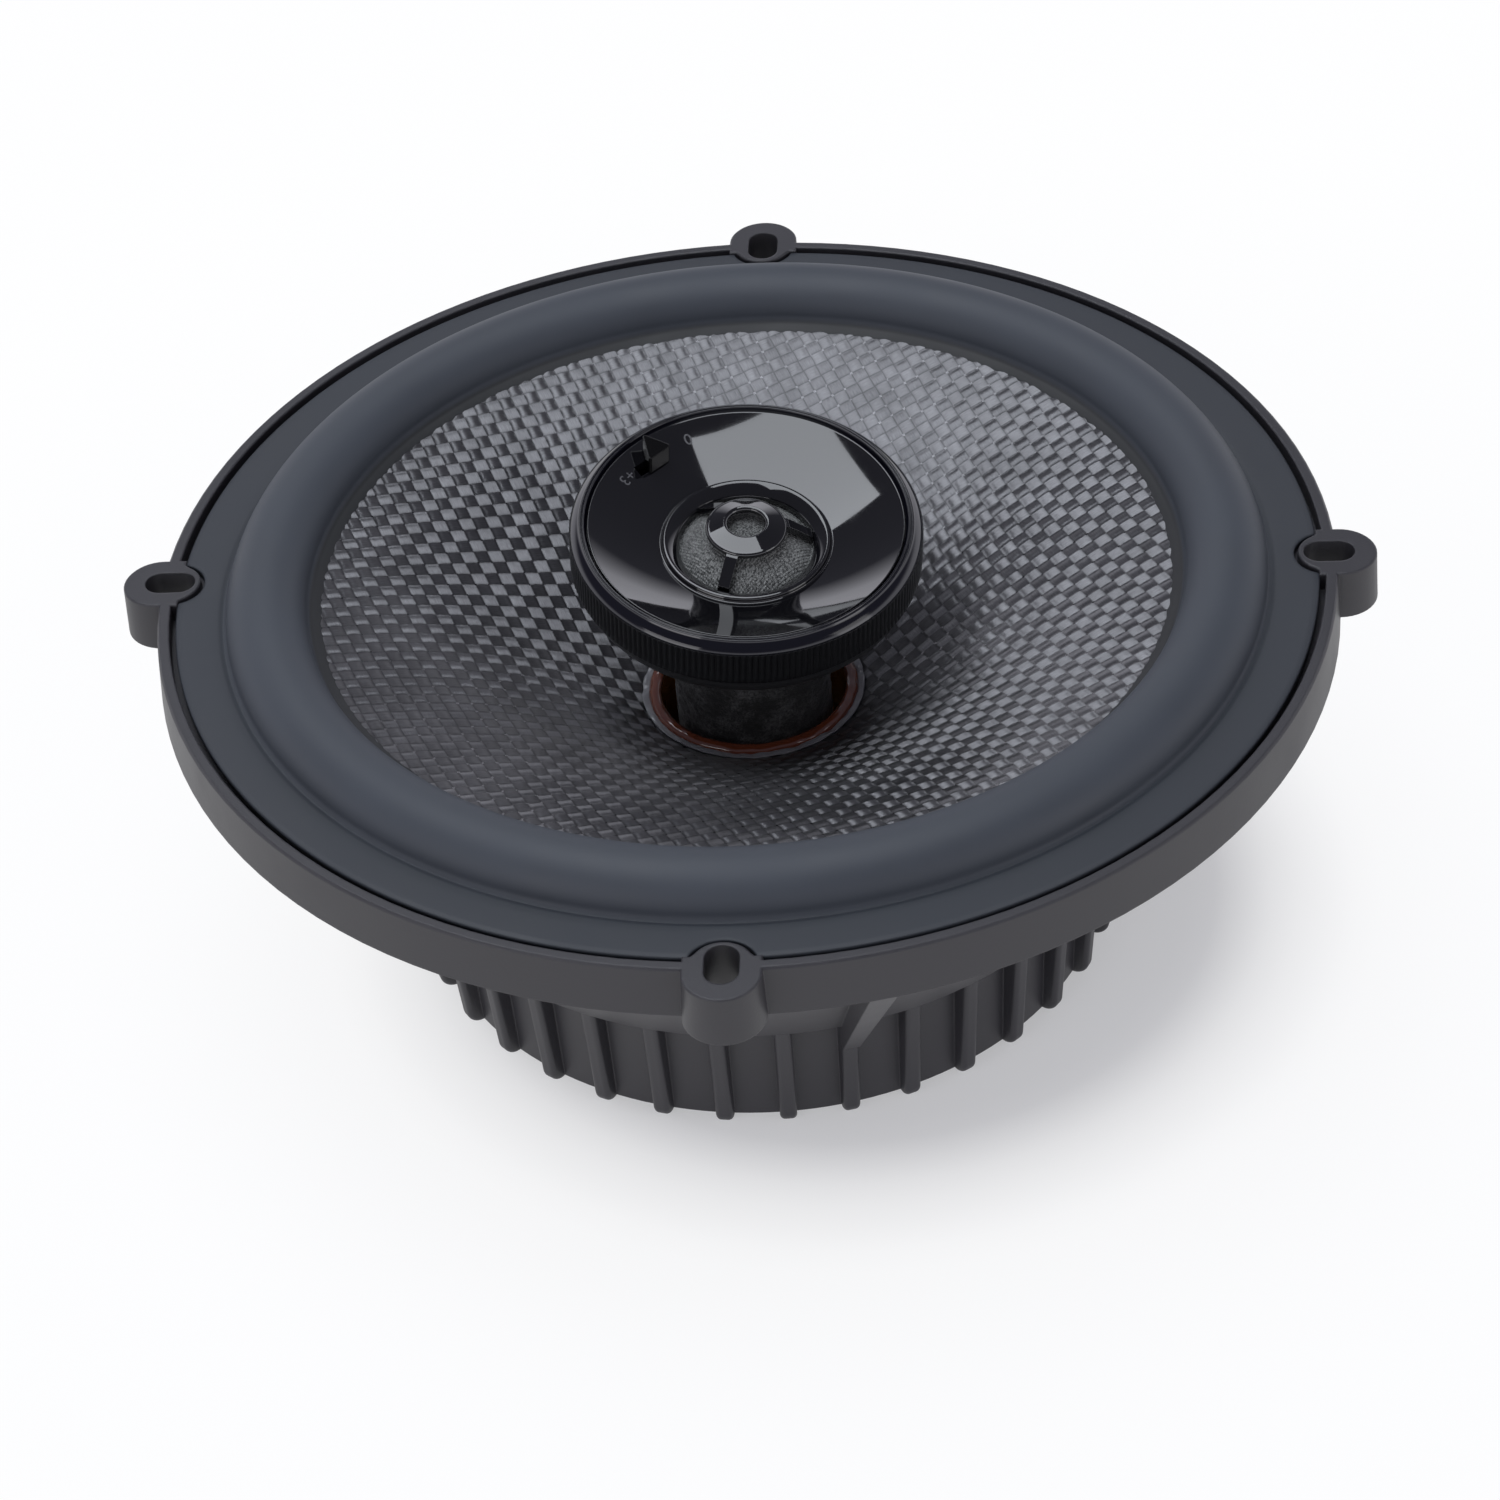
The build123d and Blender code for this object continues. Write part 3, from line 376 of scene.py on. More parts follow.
def cone_cloth():
    """Cone surface as a woven sheet on a grid that follows the tows, flat at its two edges."""
    cells = 6
    step = TOW / cells
    half = cells * (int(CONE_R / TOW) + 2)
    line = (np.arange(-half, half) + 0.5) * step
    x, y = np.meshgrid(line, line, indexing="ij")
    radius = np.hypot(x, y)
    inner, outer = NECK_R + 0.1, CONE_R
    inside = (radius < outer) & (radius > inner)
    quad = inside[:-1, :-1] | inside[1:, :-1] | inside[:-1, 1:] | inside[1:, 1:]
    used = np.zeros_like(inside)
    used[:-1, :-1] |= quad
    used[1:, :-1] |= quad
    used[:-1, 1:] |= quad
    used[1:, 1:] |= quad
    limit = np.clip(radius, inner, outer) / radius
    px, py = x * limit, y * limit
    pr = np.hypot(px, py)
    u, v = px / TOW, py / TOW
    edge = np.clip(np.minimum(pr - inner, outer - pr) / CLOTH_FADE, 0, 1)
    z = cone_height(pr) - CLOTH_SINK + WEAVE_LIFT * weave_height(u, v) * edge
    index = -np.ones(x.shape, dtype=np.int64)
    index[used] = np.arange(used.sum())
    c, s = math.cos(CLOTH_TURN), math.sin(CLOTH_TURN)
    points = np.stack([(c * px - s * py)[used], (s * px + c * py)[used], z[used]], axis=1)
    uv = np.stack([u[used], v[used]], axis=1)
    grids = (index[:-1, :-1], index[1:, :-1], index[1:, 1:], index[:-1, 1:])
    corners = np.stack([grid[quad] for grid in grids], axis=1)
    return make_object("cone_cloth", points.tolist(), corners.tolist(), uv)


def cone_paint():
    """Metallised tows of one tone with painted shade at each tow's ends, where it dives at the crossings, and
    along its edges; each shines across its own fibres.
    """
    paint = Paint("cone_weave", (0.3, 0.3, 0.31), 0.36, Metallic=0.9, Anisotropic=1.0)
    uv = paint.node("ShaderNodeUVMap", uv_map="cloth").outputs["UV"]
    split = paint.node("ShaderNodeSeparateXYZ")
    paint.link(uv, split.inputs[0])
    u, v = split.outputs["X"], split.outputs["Y"]
    square = paint.math("ADD", paint.math("FLOOR", u), paint.math("FLOOR", v))
    parity = paint.math("FLOORED_MODULO", square, 2.0)
    fu = paint.math("SUBTRACT", paint.math("FRACT", u), 0.5)
    fv = paint.math("SUBTRACT", paint.math("FRACT", v), 0.5)

    def pick(when_even, when_odd):
        gap = paint.math("SUBTRACT", when_odd, when_even)
        return paint.math("MULTIPLY_ADD", gap, parity, when_even)

    def fibres(stretch):
        mapping = paint.node("ShaderNodeMapping")
        mapping.inputs["Scale"].default_value = stretch
        paint.link(uv, mapping.inputs["Vector"])
        made = paint.node("ShaderNodeTexNoise")
        made.inputs["Scale"].default_value = 1.0
        made.inputs["Detail"].default_value = 3.0
        made.inputs["Roughness"].default_value = 0.6
        paint.link(mapping.outputs["Vector"], made.inputs["Vector"])
        return made.outputs["Fac"]

    along = pick(fv, fu)
    across = pick(fu, fv)
    thread = pick(fibres((26, 1.4, 1)), fibres((1.4, 26, 1)))
    patch = paint.noise(5.0, 2.0)
    # Painted shade: each tow's colour darkens towards its two ends, where it dives under the crossing tows,
    # and at its two side edges.
    dive_shade = paint.math("POWER", paint.math("MULTIPLY", paint.math("ABSOLUTE", along), 2.0), 5.0)
    rim = paint.math("POWER", paint.math("MULTIPLY", paint.math("ABSOLUTE", across), 2.0), 16.0)
    shade = paint.math("MAXIMUM", paint.math("MULTIPLY", dive_shade, 0.55), paint.math("MULTIPLY", rim, 0.55))
    lit = paint.span(thread, *NOISE_RANGE, 0.125, 0.225)
    lit = paint.math("MULTIPLY", lit, paint.span(patch, *NOISE_RANGE, 0.86, 1.12))
    lit = paint.math("MULTIPLY", lit, paint.math("SUBTRACT", 1.0, shade))
    # Resin beads stand in some of the corners between the tows, glossier than the fibres.
    corner = paint.math("MINIMUM", paint.math("ABSOLUTE", fu), paint.math("ABSOLUTE", fv))
    bead = paint.math("GREATER_THAN", corner, 0.415)
    bead = paint.math("MULTIPLY", bead, paint.math("GREATER_THAN", paint.noise(1.3, 1.0), 0.5))
    rgb = paint.node("ShaderNodeCombineColor")
    paint.link(lit, rgb.inputs["Red"])
    paint.link(lit, rgb.inputs["Green"])
    paint.link(paint.math("MULTIPLY", lit, 1.04), rgb.inputs["Blue"])
    paint.link(rgb.outputs[0], paint.shader.inputs["Base Color"])
    tangent = paint.node("ShaderNodeTangent", direction_type="UV_MAP", uv_map="cloth")
    paint.link(tangent.outputs[0], paint.shader.inputs["Tangent"])
    paint.link(paint.math("MULTIPLY", parity, 0.25), paint.shader.inputs["Anisotropic Rotation"])
    dull = paint.span(thread, *NOISE_RANGE, 0.36, 0.46)
    dull = paint.math("MULTIPLY", dull, paint.math("MULTIPLY_ADD", bead, -0.65, 1.0))
    paint.link(dull, paint.shader.inputs["Roughness"])
    paint.bump(thread, 0.03, 0.5)
    return paint


# Black glue at the cone's edge, the roll, and the flat land drawn a third darker, as shares of the rubber's
# colour over RUBBER_SPAN_M, the distance from the axis.
RUBBER_SPAN_M = (0.057, 0.077)
RUBBER_TONES = ((0.0, 0.12), (0.055, 0.12), (0.075, 1.0), (0.60, 1.0), (0.66, 0.66), (1.0, 0.66))


def surround_rubber():
    """Moulded rubber whose colour is scaled ring by ring."""
    paint = moulded(
        "surround_rubber", (0.031, 0.037, 0.048), 0.60, grain=0.2, depth=0.012, edge=0.1, spread=0.04)
    place = paint.node("ShaderNodeSeparateXYZ")
    paint.link(paint.coords(), place.inputs[0])
    x, y = place.outputs["X"], place.outputs["Y"]
    squares = paint.math("ADD", paint.math("MULTIPLY", x, x), paint.math("MULTIPLY", y, y))
    share = paint.ramp(paint.span(paint.math("SQRT", squares), *RUBBER_SPAN_M, 0, 1), RUBBER_TONES)
    toned = paint.node("ShaderNodeMix", data_type="RGBA", blend_type="MULTIPLY")
    toned.inputs["Factor"].default_value = 1.0
    paint.link(paint.shader.inputs["Base Color"].links[0].from_socket, toned.inputs[MIX_A])
    paint.link(share, toned.inputs[MIX_B])
    paint.link(toned.outputs[MIX_RESULT], paint.shader.inputs["Base Color"])
    return paint


# ---- surround, spider and neck ----
LUG_ANGLES = [math.pi / 2 * k for k in range(4)]
# The flat land's width; beyond LAND_IN_R it is drawn in round the lugs.
LAND_IN_R = 70.5
LAND_OUT_R = 75.5


def notch_limit(angle):
    """Outer radius of the land at this angle, drawn in round each lug's nose."""
    full = 76.1
    centre, reach = 77.3, 4.4
    for lug in LUG_ANGLES:
        off = math.atan2(math.sin(angle - lug), math.cos(angle - lug))
        side = centre * math.sin(off)
        if abs(off) < 0.5 and abs(side) < reach:
            return min(full, centre * math.cos(off) - math.sqrt(reach**2 - side**2))
    return full


def lug_angles():
    """Angles round the circle, close together near the lugs."""
    near = math.radians(4.0)
    result = []
    for lug in LUG_ANGLES:
        result += [lug + near * (k / 40 - 1) for k in range(81)]
        start = lug + near
        stop = lug + math.pi / 2 - near
        result += [start + (stop - start) * k / 96 for k in range(1, 96)]
    return result


def surround_outline():
    """Section of the roll and its two lands, with soft corners."""
    top = 6.8
    middle, half, rise = 63.9, 5.4, 5.2
    outer = [
        (LAND_OUT_R, 5.9), (LAND_OUT_R, 6.65), (75.3, 6.8), (74.6, 6.82), (73.2, 6.82), (71.8, 6.82),
        (70.6, 6.80), (70.2, 6.72), (69.9, 6.58), (69.6, 6.52),
    ]
    roll = []
    steps = 40
    for k in range(steps + 1):
        t = math.pi * (k / steps) * 0.94 + math.pi * 0.03
        roll.append((middle + half * math.cos(t), top + rise * math.sin(t)))
    inner = [(58.35, 7.0), (58.1, 6.62), (57.7, 6.5), (57.0, 6.15), (55.4, 5.1), (55.3, 4.6)]
    under = [(57.2, 5.0), (58.6, 5.4), (59.3, 5.9)]
    for k in range(steps + 1):
        t = math.pi * (1 - k / steps)
        under.append((middle + (half - 0.8) * math.cos(t), top - 0.9 + rise * math.sin(t)))
    return outer + roll + inner + under


def surround_shift(r, z, angle):
    if r <= LAND_IN_R:
        return r, z
    limit = notch_limit(angle)
    return LAND_IN_R + (r - LAND_IN_R) * (limit - LAND_IN_R) / (LAND_OUT_R - LAND_IN_R), z


def spider_outline():
    """Section of the centring disc: waves between the neck and its flat outer land."""
    inner, flat, waves, rise = 13.15, SPIDER_LEDGE_R, 10, 0.9
    step = (flat - inner) / waves
    top = []
    for k in range(waves * 12 + 1):
        r = inner + (flat - inner) * k / (waves * 12)
        wave = math.sin(math.pi * (r - inner) / step)
        top.append((r, SPIDER_Z - rise * wave))
    top.append((SPIDER_R, SPIDER_Z))
    return top + [(r, z + SPIDER_THICKNESS) for r, z in reversed(top)]


def rough_ring(amount, size):
    """Shift that makes a ring of glue uneven, by amount over bumps of this size."""
    def shift(r, z, angle):
        spot = Vector((r * math.cos(angle), r * math.sin(angle), z)) / size
        push = amount * noise.noise(spot)
        return r + push * 0.4, z + push
    return shift


# ---- tweeter ----
def depth(value):
    """Height in the head's frame of a point this far below the rim."""
    return PIVOT_TO_RIM - value


FLUTES = 180
FLUTE_DEPTH = 0.26


def flute_shift(r, z, angle):
    """Fine upright flutes on the side of the trim ring, fading out at its rounded ends."""
    below = depth(0) - z
    if r < 22.6 or below < 1.5 or below > 6.6:
        return r, z
    fade = smooth((below - 1.4) / 0.5) * smooth((6.65 - below) / 0.5)
    wave = abs(math.sin(FLUTES * angle / 2))
    return r - FLUTE_DEPTH * (1 - wave) * fade, z


def trim_outline():
    """Fluted side wall up to the rim's shoulder."""
    points = [
        (21.9, 6.8), (23.15, 6.8), (23.3, 6.7), (23.4, 6.5), (23.4, 5.6), (23.4, 4.0), (23.4, 2.8),
        (23.4, 2.2), (23.4, 1.8), (23.38, 1.6), (23.32, 1.47), (21.9, 1.47),
    ]
    return [(r, depth(d)) for r, d in points]


def rim_outline():
    """Round shoulder, two fine beads and the step down to the dish."""
    points = [
        (23.31, 1.46), (23.2, 1.28), (23.05, 1.08), (22.85, 0.87), (22.6, 0.66), (22.36, 0.48), (22.16, 0.35),
        (22.08, 0.25), (22.02, 0.14), (21.94, 0.06), (21.84, 0.06), (21.76, 0.12), (21.72, 0.2), (21.66, 0.2),
        (21.62, 0.08), (21.54, 0.01), (21.44, 0.01), (21.36, 0.1), (21.32, 0.3), (21.28, 0.6), (21.1, 0.72),
        (21.05, 0.8), (21.05, 1.46), (21.88, 1.46),
    ]
    return [(r, depth(d)) for r, d in points]


def faceplate_outline():
    """The conical dish, the raised ring round the dome's opening, and the underside."""
    points = [
        (20.95, 0.55), (20.9, 0.36), (20.75, 0.47), (11.55, 4.09), (11.3, 4.15), (11.22, 3.9), (11.15, 3.65),
        (10.95, 3.52), (10.7, 3.52), (10.45, 3.62), (9.3, 4.45), (8.98, 4.75), (8.9, 5.25), (11.2, 5.28),
        (12.4, 5.1), (20.8, 1.36), (20.95, 1.2),
    ]
    return [(r, depth(d)) for r, d in points]


# The level switch's slot in the dish, along x and y in a frame turned to the knob.
KNOB_TURN = math.radians(136.0)
SLOT_X = (16.9, 18.4)
SLOT_Y = (-1.0, 3.0)
SLOT_MARGIN = 0.01


def cut_slot(thing):
    """Cuts the level switch's slot through the dish and keeps the slot's edges crisp."""
    placed = HEAD @ Matrix.Rotation(KNOB_TURN, 4, "Z")
    heights = (depth(8), depth(-2))
    corners = [placed @ Vector((x, y, z)) for x in SLOT_X for y in SLOT_Y for z in heights]
    walls = [(0, 1, 3, 2), (4, 6, 7, 5), (0, 4, 5, 1), (2, 3, 7, 6), (0, 2, 6, 4), (1, 5, 7, 3)]
    box = make_object("slot_cutter", corners, walls)
    cut = thing.modifiers.new("slot", "BOOLEAN")
    cut.operation = "DIFFERENCE"
    cut.solver = "EXACT"
    cut.object = box
    mesh = evaluated_mesh(thing)
    thing.modifiers.clear()
    thing.data = mesh
    bpy.data.objects.remove(box)
    back = placed.inverted()
    on_slot = []
    for vertex in mesh.vertices:
        spot = back @ (vertex.co / MM)
        inside_x = SLOT_X[0] - SLOT_MARGIN < spot.x < SLOT_X[1] + SLOT_MARGIN
        inside_y = SLOT_Y[0] - SLOT_MARGIN < spot.y < SLOT_Y[1] + SLOT_MARGIN
        on_slot.append(inside_x and inside_y)
    for edge in mesh.edges:
        edge.use_edge_sharp = all(on_slot[index] for index in edge.vertices)


# The dish under the marks: its depth at DISH_OUT_R, how far it falls to DISH_IN_R, and its lean.
DISH_OUT_R = 20.9
DISH_IN_R = 11.3
DISH_EDGE_DEPTH = 0.42
DISH_FALL = 3.75
DISH_LEAN = math.atan2(3.66, 9.35)
INK_THICKNESS = 0.02
INK_LIFT = 0.03


def label(name, text, angle, radius, size):
    """Number on the dish, its foot outwards, as thin raised ink."""
    curve = bpy.data.curves.new(name, "FONT")
    curve.body = text
    curve.size = size * MM
    curve.extrude = INK_THICKNESS * MM
    curve.align_x = "CENTER"
    curve.align_y = "CENTER"
    written = add_object(name + "_text", curve)
    mesh = evaluated_mesh(written)
    bpy.data.objects.remove(written)
    drop = DISH_EDGE_DEPTH + (DISH_OUT_R - radius) / (DISH_OUT_R - DISH_IN_R) * DISH_FALL
    outward = Matrix.Rotation(angle, 4, "Z")
    place = Matrix.Translation((radius * MM, 0, (depth(drop) + INK_LIFT) * MM))
    lean = Matrix.Rotation(-DISH_LEAN, 4, "Y")
    facing = Matrix.Rotation(math.pi / 2, 4, "Z")
    head = Matrix.Translation(HEAD.translation * MM) @ HEAD.to_3x3().to_4x4()
    mesh.transform(head @ outward @ place @ lean @ facing)
    mesh.name = name
    return add_object(name, mesh)


# ---- leads ----
STRAND_WAVES = 4


def lead_mesh(name, route, radius, turns):
    """Braided lead: a tube whose strands ripple, along a smooth curve through the route."""
    curve = bpy.data.curves.new(name + "_route", "CURVE")
    curve.dimensions = "3D"
    curve.resolution_u = 12
    spline = curve.splines.new("NURBS")
    spline.points.add(len(route) - 1)
    for point, place in zip(spline.points, route):
        point.co = (*place, 1)
    spline.order_u = 3
    spline.use_endpoint_u = True
    holder = add_object(name + "_route", curve)
    spots = [v.co.copy() for v in evaluated_mesh(holder).vertices]
    bpy.data.objects.remove(holder)
    fine = []
    for a, b in zip(spots, spots[1:]):
        fine += [a.lerp(b, k / 3) for k in range(3)]
    fine.append(spots[-1])
    around = 16
    vertices = []
    up = Vector((0, 0, 1))
    for n, spot in enumerate(fine):
        ahead = (fine[min(n + 1, len(fine) - 1)] - fine[max(n - 1, 0)]).normalized()
        side = ahead.cross(up).normalized()
        rise = side.cross(ahead)
        for k in range(around):
            angle = 2 * math.pi * k / around
            wave, twist = STRAND_WAVES * angle, turns * n / len(fine)
            ripple = math.sin(wave + twist) * math.sin(wave - twist)
            reach = radius * (0.93 + 0.09 * ripple)
            vertices.append(spot + side * math.cos(angle) * reach + rise * math.sin(angle) * reach)
    faces = []
    for n in range(len(fine) - 1):
        for k in range(around):
            a, b = n * around + k, n * around + (k + 1) % around
            faces.append((a, b, b + around, a + around))
    faces.append(tuple(reversed(range(around))))
    faces.append(tuple(range(len(vertices) - around, len(vertices))))
    return make_object(name, vertices, faces)


# ---- finishes ----
basket_paint = moulded(
    "basket", (0.0240, 0.0230, 0.0275), 0.47, grain=0.28, depth=0.03, edge=0.35, spread=0.05)
rubber_paint = surround_rubber()
black_paint = moulded("moulded_black", (0.012, 0.012, 0.013), 0.42, grain=0.3, depth=0.02, edge=0.2)
satin_paint = moulded(
    "trim", (0.003, 0.003, 0.0035), 0.34, grain=0.25, depth=0.006, edge=0.05, spread=0.05,
    Specular_IOR_Level=0.22)
rim_paint = moulded("rim", (0.003, 0.003, 0.006), 0.10, grain=0.6, depth=0.002, edge=0.04, spread=0.03)
gloss_paint = Paint("gloss_black", (0.004, 0.004, 0.005), 0.045, Coat_Weight=0.5, Coat_Roughness=0.02)
gloss_paint.rough(gloss_paint.noise(4.0, 4.0), 0.03, 0.075)
gloss_paint.bump(gloss_paint.noise(7.0, 1.0), 0.012, 0.35, gloss_paint.soft_edges(0.12))
knob_paint = moulded(
    "knob", (0.002, 0.002, 0.002), 0.12, grain=0.4, depth=0.004, edge=0.22, spread=0.04,
    Specular_IOR_Level=0.3)
felt_paint = moulded(
    "felt", (0.018, 0.018, 0.018), 0.95, grain=0.22, depth=0.18, edge=0.05, Sheen_Weight=0.25)
fluff = felt_paint.math("MULTIPLY", felt_paint.noise(0.35, 4.0, rough=0.7), felt_paint.noise(3.0, 2.0))
felt_paint.tint(felt_paint.span(fluff, 0.22, 0.40, 0, 1), (0.009, 0.009, 0.009), (0.10, 0.10, 0.10))
steel_paint = plated("steel", (0.48, 0.47, 0.46), 0.34)
nickel_paint = plated("nickel", (0.55, 0.54, 0.52), 0.22)
brass_paint = plated("eyelet", (0.62, 0.50, 0.28), 0.32)
tin_paint = plated("tab", (0.66, 0.66, 0.64), 0.28)
ferrite_paint = moulded("ferrite", (0.030, 0.030, 0.033), 0.55, grain=0.6, depth=0.05, edge=0.3)
former_paint = moulded("former", (0.40, 0.15, 0.035), 0.25, grain=0.8, depth=0.01, edge=0.05, spread=0.08)
bead_paint = moulded(
    "collar", (0.17, 0.042, 0.018), 0.10, grain=0.9, depth=0.07, edge=0.1, spread=0.08, Coat_Weight=1.0)
glue_paint = moulded(
    "glue", (0.36, 0.36, 0.38), 0.18, grain=1.1, depth=0.06, edge=0.1, spread=0.08,
    Transmission_Weight=0.3, IOR=1.45)
coil_paint = plated("coil", (0.55, 0.20, 0.07), 0.3)
spider_paint = woven("spider_cloth", (0.42, 0.29, 0.11), 0.7, 0.9, depth=0.12)
silk_paint = woven("dome_cloth", (0.09, 0.094, 0.092), 0.6, 0.46, depth=0.09, Sheen_Weight=0.2)
grain = silk_paint.math("ADD", silk_paint.noise(0.26, 1.0), silk_paint.noise(0.5, 1.0, stretch=(3, 1, 1)))
silk_paint.tint(silk_paint.span(grain, 0.82, 1.18, 0, 1), (0.022, 0.024, 0.023), (0.20, 0.205, 0.20))
tinsel_paint = woven("tinsel", (0.42, 0.26, 0.17), 0.42, 0.5, depth=0.08, Metallic=0.5)
foam_paint = moulded("foam", (0.03, 0.03, 0.03), 0.9, grain=0.5, depth=0.15)
cable_paint = moulded("cable", (0.012, 0.012, 0.012), 0.5, grain=0.3, depth=0.01)
board_paint = moulded("board", (0.03, 0.12, 0.05), 0.35, grain=0.8, depth=0.01)
sleeve_paint = moulded("capacitor", (0.02, 0.04, 0.12), 0.3)
ceramic_paint = moulded("resistor", (0.5, 0.46, 0.38), 0.7, grain=0.3, depth=0.03)
ink_paint = Paint("ink", (0.16, 0.16, 0.17), 0.5)
ink_paint.tint(ink_paint.noise(0.4, 2.0), (0.035, 0.035, 0.04), (0.075, 0.075, 0.08))

coat(["basket_frame"], basket_paint)
coat(["tweeter_post", "terminal_bracket", "terminal_block", "rear_cap"], black_paint)
coat(["tweeter_housing", "level_switch_body"], black_paint)
coat(["pivot_ball", "level_switch_knob"], knob_paint)
coat(["dome_guard"], gloss_paint)
coat(["top_plate", "t_yoke", "motor_screws", "post_nut", "post_washer", "pivot_clip"], steel_paint)
coat(["ferrite_magnet"], ferrite_paint)
coat(["tweeter_pot", "tweeter_magnet", "tweeter_pole_plate"], nickel_paint)
coat(["lead_eyelets", "terminal_rivets"], brass_paint)
coat(["terminal_tab_positive", "terminal_tab_negative"], tin_paint)
coat(["voice_coil_former", "tweeter_coil_former"], former_paint)
coat(["voice_coil", "tweeter_coil"], coil_paint)
coat(["tweeter_dome", "dome_suspension"], silk_paint)
coat(["dome_damper"], foam_paint)
coat(["tweeter_cable", "head_lead"], cable_paint)
coat(["switch_board"], board_paint)
coat(["crossover_capacitor"], sleeve_paint)
coat(["level_resistor"], ceramic_paint)

# ---- pieces that stand for CAD nodes ----
cloth = cone_cloth()
dress(cloth, cone_paint(), "cone_assembly", "cone_weave", "cone")
backing = cloth.modifiers.new("thickness", "SOLIDIFY")
backing.thickness = CLOTH_THICKNESS * MM
backing.offset = -1

roll = lathe("surround_roll", surround_outline(), shift=surround_shift, angles=lug_angles())
dress(roll, rubber_paint, None, "surround_rubber", "surround")
radial_blend(roll)

centring = lathe("spider_disc", spider_outline(), 180)
dress(centring, spider_paint, None, "spider_cloth", "spider")
radial_blend(centring)

bead_outline = [
    (13.02, -16.0), (13.7, -16.0), (14.3, -14.3), (14.42, -13.7), (14.25, -13.1), (13.75, -12.75),
    (13.15, -12.72), (12.68, -13.0), (12.6, -13.5), (12.98, -13.9),
]
bead = lathe("neck_bead", rounded(bead_outline, 0.32), 240, rough_ring(0.16, 2.2))
dress(bead, bead_paint, "cone_assembly", "collar", "former_collar")

fillet_outline = [
    (13.75, -15.2), (14.1, -15.0), (14.5, -14.1), (15.15, -13.6), (15.2, -13.3), (14.8, -13.3),
    (14.2, -13.4),
]
fillet_ring = lathe("neck_fillet", rounded(fillet_outline, 0.2), 240, rough_ring(0.34, 1.6))
dress(fillet_ring, glue_paint, "cone_assembly", "glue", "neck_glue")


FELT_IN_R = 10.24
FELT_OUT_R = 10.66
FELT_FOOT_Z = -26.8
FELT_TOP_Z = -4.0
FELT_LENGTH = 22.8
FELT_ROWS = 90


def felt_shift(r, z, angle):
    """Uneven pile on the felt's outside: coarse tufts and fine ones. Its inside stays straight."""
    if r < (FELT_IN_R + FELT_OUT_R) / 2:
        return r, z
    spot = Vector((r * math.cos(angle) * 1.2, r * math.sin(angle) * 1.2, z * 1.2))
    return r - 0.1 + 0.16 * noise.noise(spot) + 0.07 * noise.noise(spot * 3.1), z


felt_side = [(FELT_OUT_R, FELT_FOOT_Z + FELT_LENGTH * k / FELT_ROWS) for k in range(FELT_ROWS + 1)]
felt_side = [(FELT_IN_R, FELT_FOOT_Z)] + felt_side + [(FELT_IN_R, FELT_TOP_Z)]
sleeve = lathe("post_felt_sleeve", felt_side, 260, felt_shift)
dress(sleeve, felt_paint, "basket", "felt", "post_felt")

trim = lathe("trim_ring_fluted", trim_outline(), FLUTES * 8, flute_shift, HEAD)
dress(trim, satin_paint, "tweeter_head", "trim", "trim_ring")
rim = lathe("trim_rim", rim_outline(), 320, None, HEAD)
dress(rim, rim_paint, "tweeter_head", "trim")

dish = lathe("faceplate_dish", faceplate_outline(), 320, None, HEAD)
cut_slot(dish)
dress(dish, gloss_paint, "tweeter_head", "gloss_black", "tweeter_faceplate")

for name, text, angle in (("level_mark_low", "0", 117.0), ("level_mark_high", "+3", 151.5)):
    dress(label(name, text, math.radians(angle), 18.4, 2.3), ink_paint, "tweeter_head", "gloss_black")

# ---- tinsel leads ----
# Along the CAD's route, from the terminal rivet inside the bowl's wall to the eyelet in the cone.
TERMINAL_TURN = Matrix.Rotation(math.radians(60.0), 4, "Z")
TERMINAL_HALF = 5.5
LEAD_START_R = BOWL_TOP_R + BOWL_SLOPE * TERMINAL_Z - BOWL_WALL * BOWL_SLANT - 2.0
LEAD_END_Z = cone_height(EYELET_R) - 2.3
for name, side in (("positive", 1), ("negative", -1)):
    y = side * TERMINAL_HALF
    route = [
        (LEAD_START_R, y, TERMINAL_Z),
        (LEAD_START_R - 7, y * 1.1, -11.5),
        (LEAD_START_R - 17, y * 1.3, -15.2),
        (LEAD_START_R - 27, y * 1.1, -13.6),
        (EYELET_R, y, LEAD_END_Z),
    ]
    route = [TERMINAL_TURN @ Vector(point) for point in route]
    wire = lead_mesh("tinsel_lead_" + name + "_braid", route, radius=0.7, turns=260)
    dress(wire, tinsel_paint, None, "tinsel", "tinsel_lead_" + name)
    radial_blend(wire)

# ---- floor, light and camera ----
bpy.ops.mesh.primitive_plane_add(size=6.0, location=(0, 0, FLOOR_Z * MM))
floor = bpy.context.object
floor.name = "floor"
floor_paint = Paint("floor", (0.86, 0.865, 0.88), 0.55)
floor_paint.tint(floor_paint.noise(60.0, 2.0), (0.85, 0.85, 0.89), (0.86, 0.86, 0.90))
# Painted light: a white glow mixed into the floor grows with distance from the part's foot, so the shadow
# fades into plain white: the share of glow at these distances from the part's foot.
FADE_CENTRE_M = (-0.012, 0.002, 0)
FLOOR_FADE = ((0.050, 0.38), (0.060, 0.72), (0.072, 0.90), (0.10, 0.93), (0.20, 1.0))
fade_shift = floor_paint.node("ShaderNodeMapping")
fade_shift.inputs["Location"].default_value = FADE_CENTRE_M
floor_paint.link(floor_paint.coords(), fade_shift.inputs["Vector"])
fade_reach = floor_paint.node("ShaderNodeVectorMath", operation="LENGTH")
floor_paint.link(fade_shift.outputs["Vector"], fade_reach.inputs[0])
fade = floor_paint.ramp(fade_reach.outputs["Value"], FLOOR_FADE)
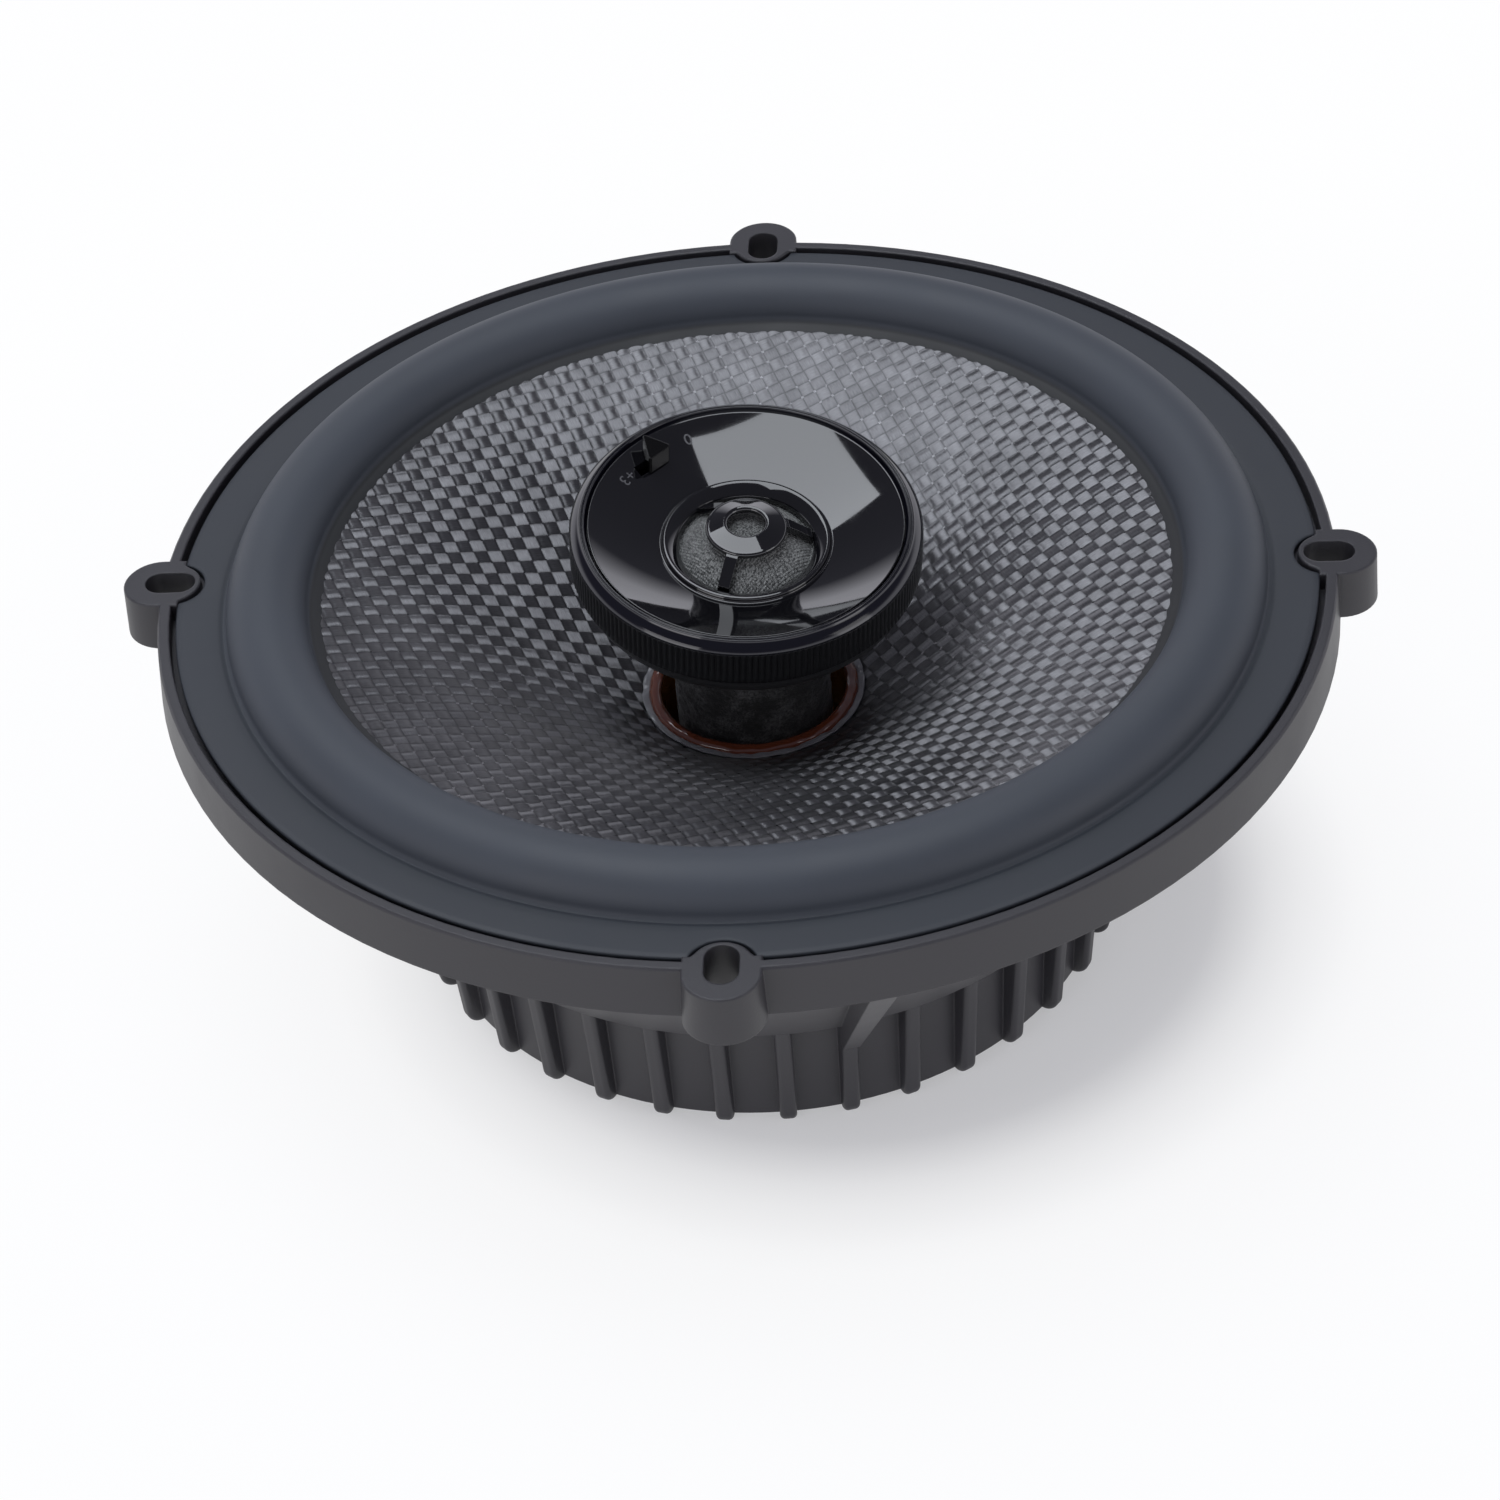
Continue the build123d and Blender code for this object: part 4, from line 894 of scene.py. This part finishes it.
# Painted light: the floor's own white glow, though it is no lamp.
white = floor_paint.node("ShaderNodeEmission")
white.inputs["Color"].default_value = (0.992, 0.994, 1, 1)
white.inputs["Strength"].default_value = 1.0
blend_floor = floor_paint.node("ShaderNodeMixShader")
floor_paint.link(fade, blend_floor.inputs[0])
floor_paint.link(floor_paint.shader.outputs[0], blend_floor.inputs[1])
floor_paint.link(white.outputs[0], blend_floor.inputs[2])
floor_paint.link(blend_floor.outputs[0], floor_paint.tree.nodes["Material Output"].inputs["Surface"])
floor.data.materials.append(floor_paint.material)

# Light from all round by height of direction, and plain white where the camera sees past the floor.
SKY_STOPS = ((0.27, (1.3, 1.3, 1.42, 1)), (0.42, (0.13, 0.13, 0.16, 1)))
world = bpy.data.worlds.new("studio")
bpy.context.scene.world = world
world.use_nodes = True
sky = world.node_tree
ground = sky.nodes["Background"]
direction = sky.nodes.new("ShaderNodeTexCoord")
parts = sky.nodes.new("ShaderNodeSeparateXYZ")
sky.links.new(direction.outputs["Generated"], parts.inputs[0])
ramp = sky.nodes.new("ShaderNodeValToRGB")
sky.links.new(parts.outputs["Z"], ramp.inputs[0])
for mark, (height, color) in zip(ramp.color_ramp.elements, SKY_STOPS):
    mark.position = height
    mark.color = color
sky.links.new(ramp.outputs["Color"], ground.inputs["Color"])
ground.inputs["Strength"].default_value = 1.0
plain = sky.nodes.new("ShaderNodeBackground")
plain.inputs["Color"].default_value = (1, 1, 1, 1)
rays = sky.nodes.new("ShaderNodeLightPath")
either = sky.nodes.new("ShaderNodeMixShader")
sky.links.new(rays.outputs["Is Camera Ray"], either.inputs[0])
sky.links.new(ground.outputs[0], either.inputs[1])
sky.links.new(plain.outputs[0], either.inputs[2])
sky.links.new(either.outputs[0], sky.nodes["World Output"].inputs["Surface"])


def softbox(name, place, aim, width, height, radiance, tint, turn=0.0):
    """Rectangular light, in metres, whose surface has this radiance, turned about its own axis."""
    data = bpy.data.lights.new(name, "AREA")
    data.shape = "RECTANGLE"
    data.size = width
    data.size_y = height
    data.energy = radiance * math.pi * width * height
    data.color = tint
    lamp = add_object(name, data)
    lamp.location = place
    lamp.rotation_mode = "QUATERNION"
    facing = (Vector(aim) - Vector(place)).to_track_quat("-Z", "Y")
    lamp.rotation_quaternion = facing @ Quaternion((0, 0, 1), turn)


softbox(
    "key_overhead", place=(-0.155, 0.175, 0.85), aim=(-0.155, 0.1751, 0), width=0.64, height=0.92,
    radiance=4.1, tint=(0.90, 0.94, 1.0), turn=math.radians(25))
softbox(
    "fill_left", place=(-0.65, -0.8, 0.42), aim=(0, 0, 0), width=0.6, height=0.4,
    radiance=2.4, tint=(0.98, 0.97, 1.0))
softbox(
    "fill_right", place=(0.95, -0.45, 0.35), aim=(0, 0, 0), width=0.4, height=0.6,
    radiance=1.6, tint=(1.0, 0.99, 1.0))

# The camera looks down at 40 degrees from the front, a little to the right, with a small roll.
CAMERA_AZIMUTH = math.radians(4.90)
CAMERA_ELEVATION = math.radians(39.98)
CAMERA_ROLL = math.radians(-4.56)
CAMERA_DISTANCE = 530.5
CAMERA_TARGET = Vector((2.05, -37.92, 7.1))
CAMERA_LENS = 100.67
CAMERA_SENSOR = 36.0
CAMERA_CLIP_M = 0.01

back = Vector((
    math.sin(CAMERA_AZIMUTH) * math.cos(CAMERA_ELEVATION),
    -math.cos(CAMERA_AZIMUTH) * math.cos(CAMERA_ELEVATION),
    math.sin(CAMERA_ELEVATION),
))
right = (-back).cross(Vector((0, 0, 1))).normalized()
above = right.cross(-back)
turned_right = math.cos(CAMERA_ROLL) * right + math.sin(CAMERA_ROLL) * above
turned_above = -math.sin(CAMERA_ROLL) * right + math.cos(CAMERA_ROLL) * above
camera_data = bpy.data.cameras.new("camera")
camera_data.sensor_width = CAMERA_SENSOR
camera_data.lens = CAMERA_LENS
camera_data.clip_start = CAMERA_CLIP_M
camera = add_object("camera", camera_data)
place = (CAMERA_TARGET + back * CAMERA_DISTANCE) * MM
basis = Matrix((turned_right, turned_above, back)).transposed().to_4x4()
camera.matrix_world = Matrix.Translation(place) @ basis
bpy.context.scene.camera = camera
bpy.context.scene.view_settings.view_transform = "Standard"
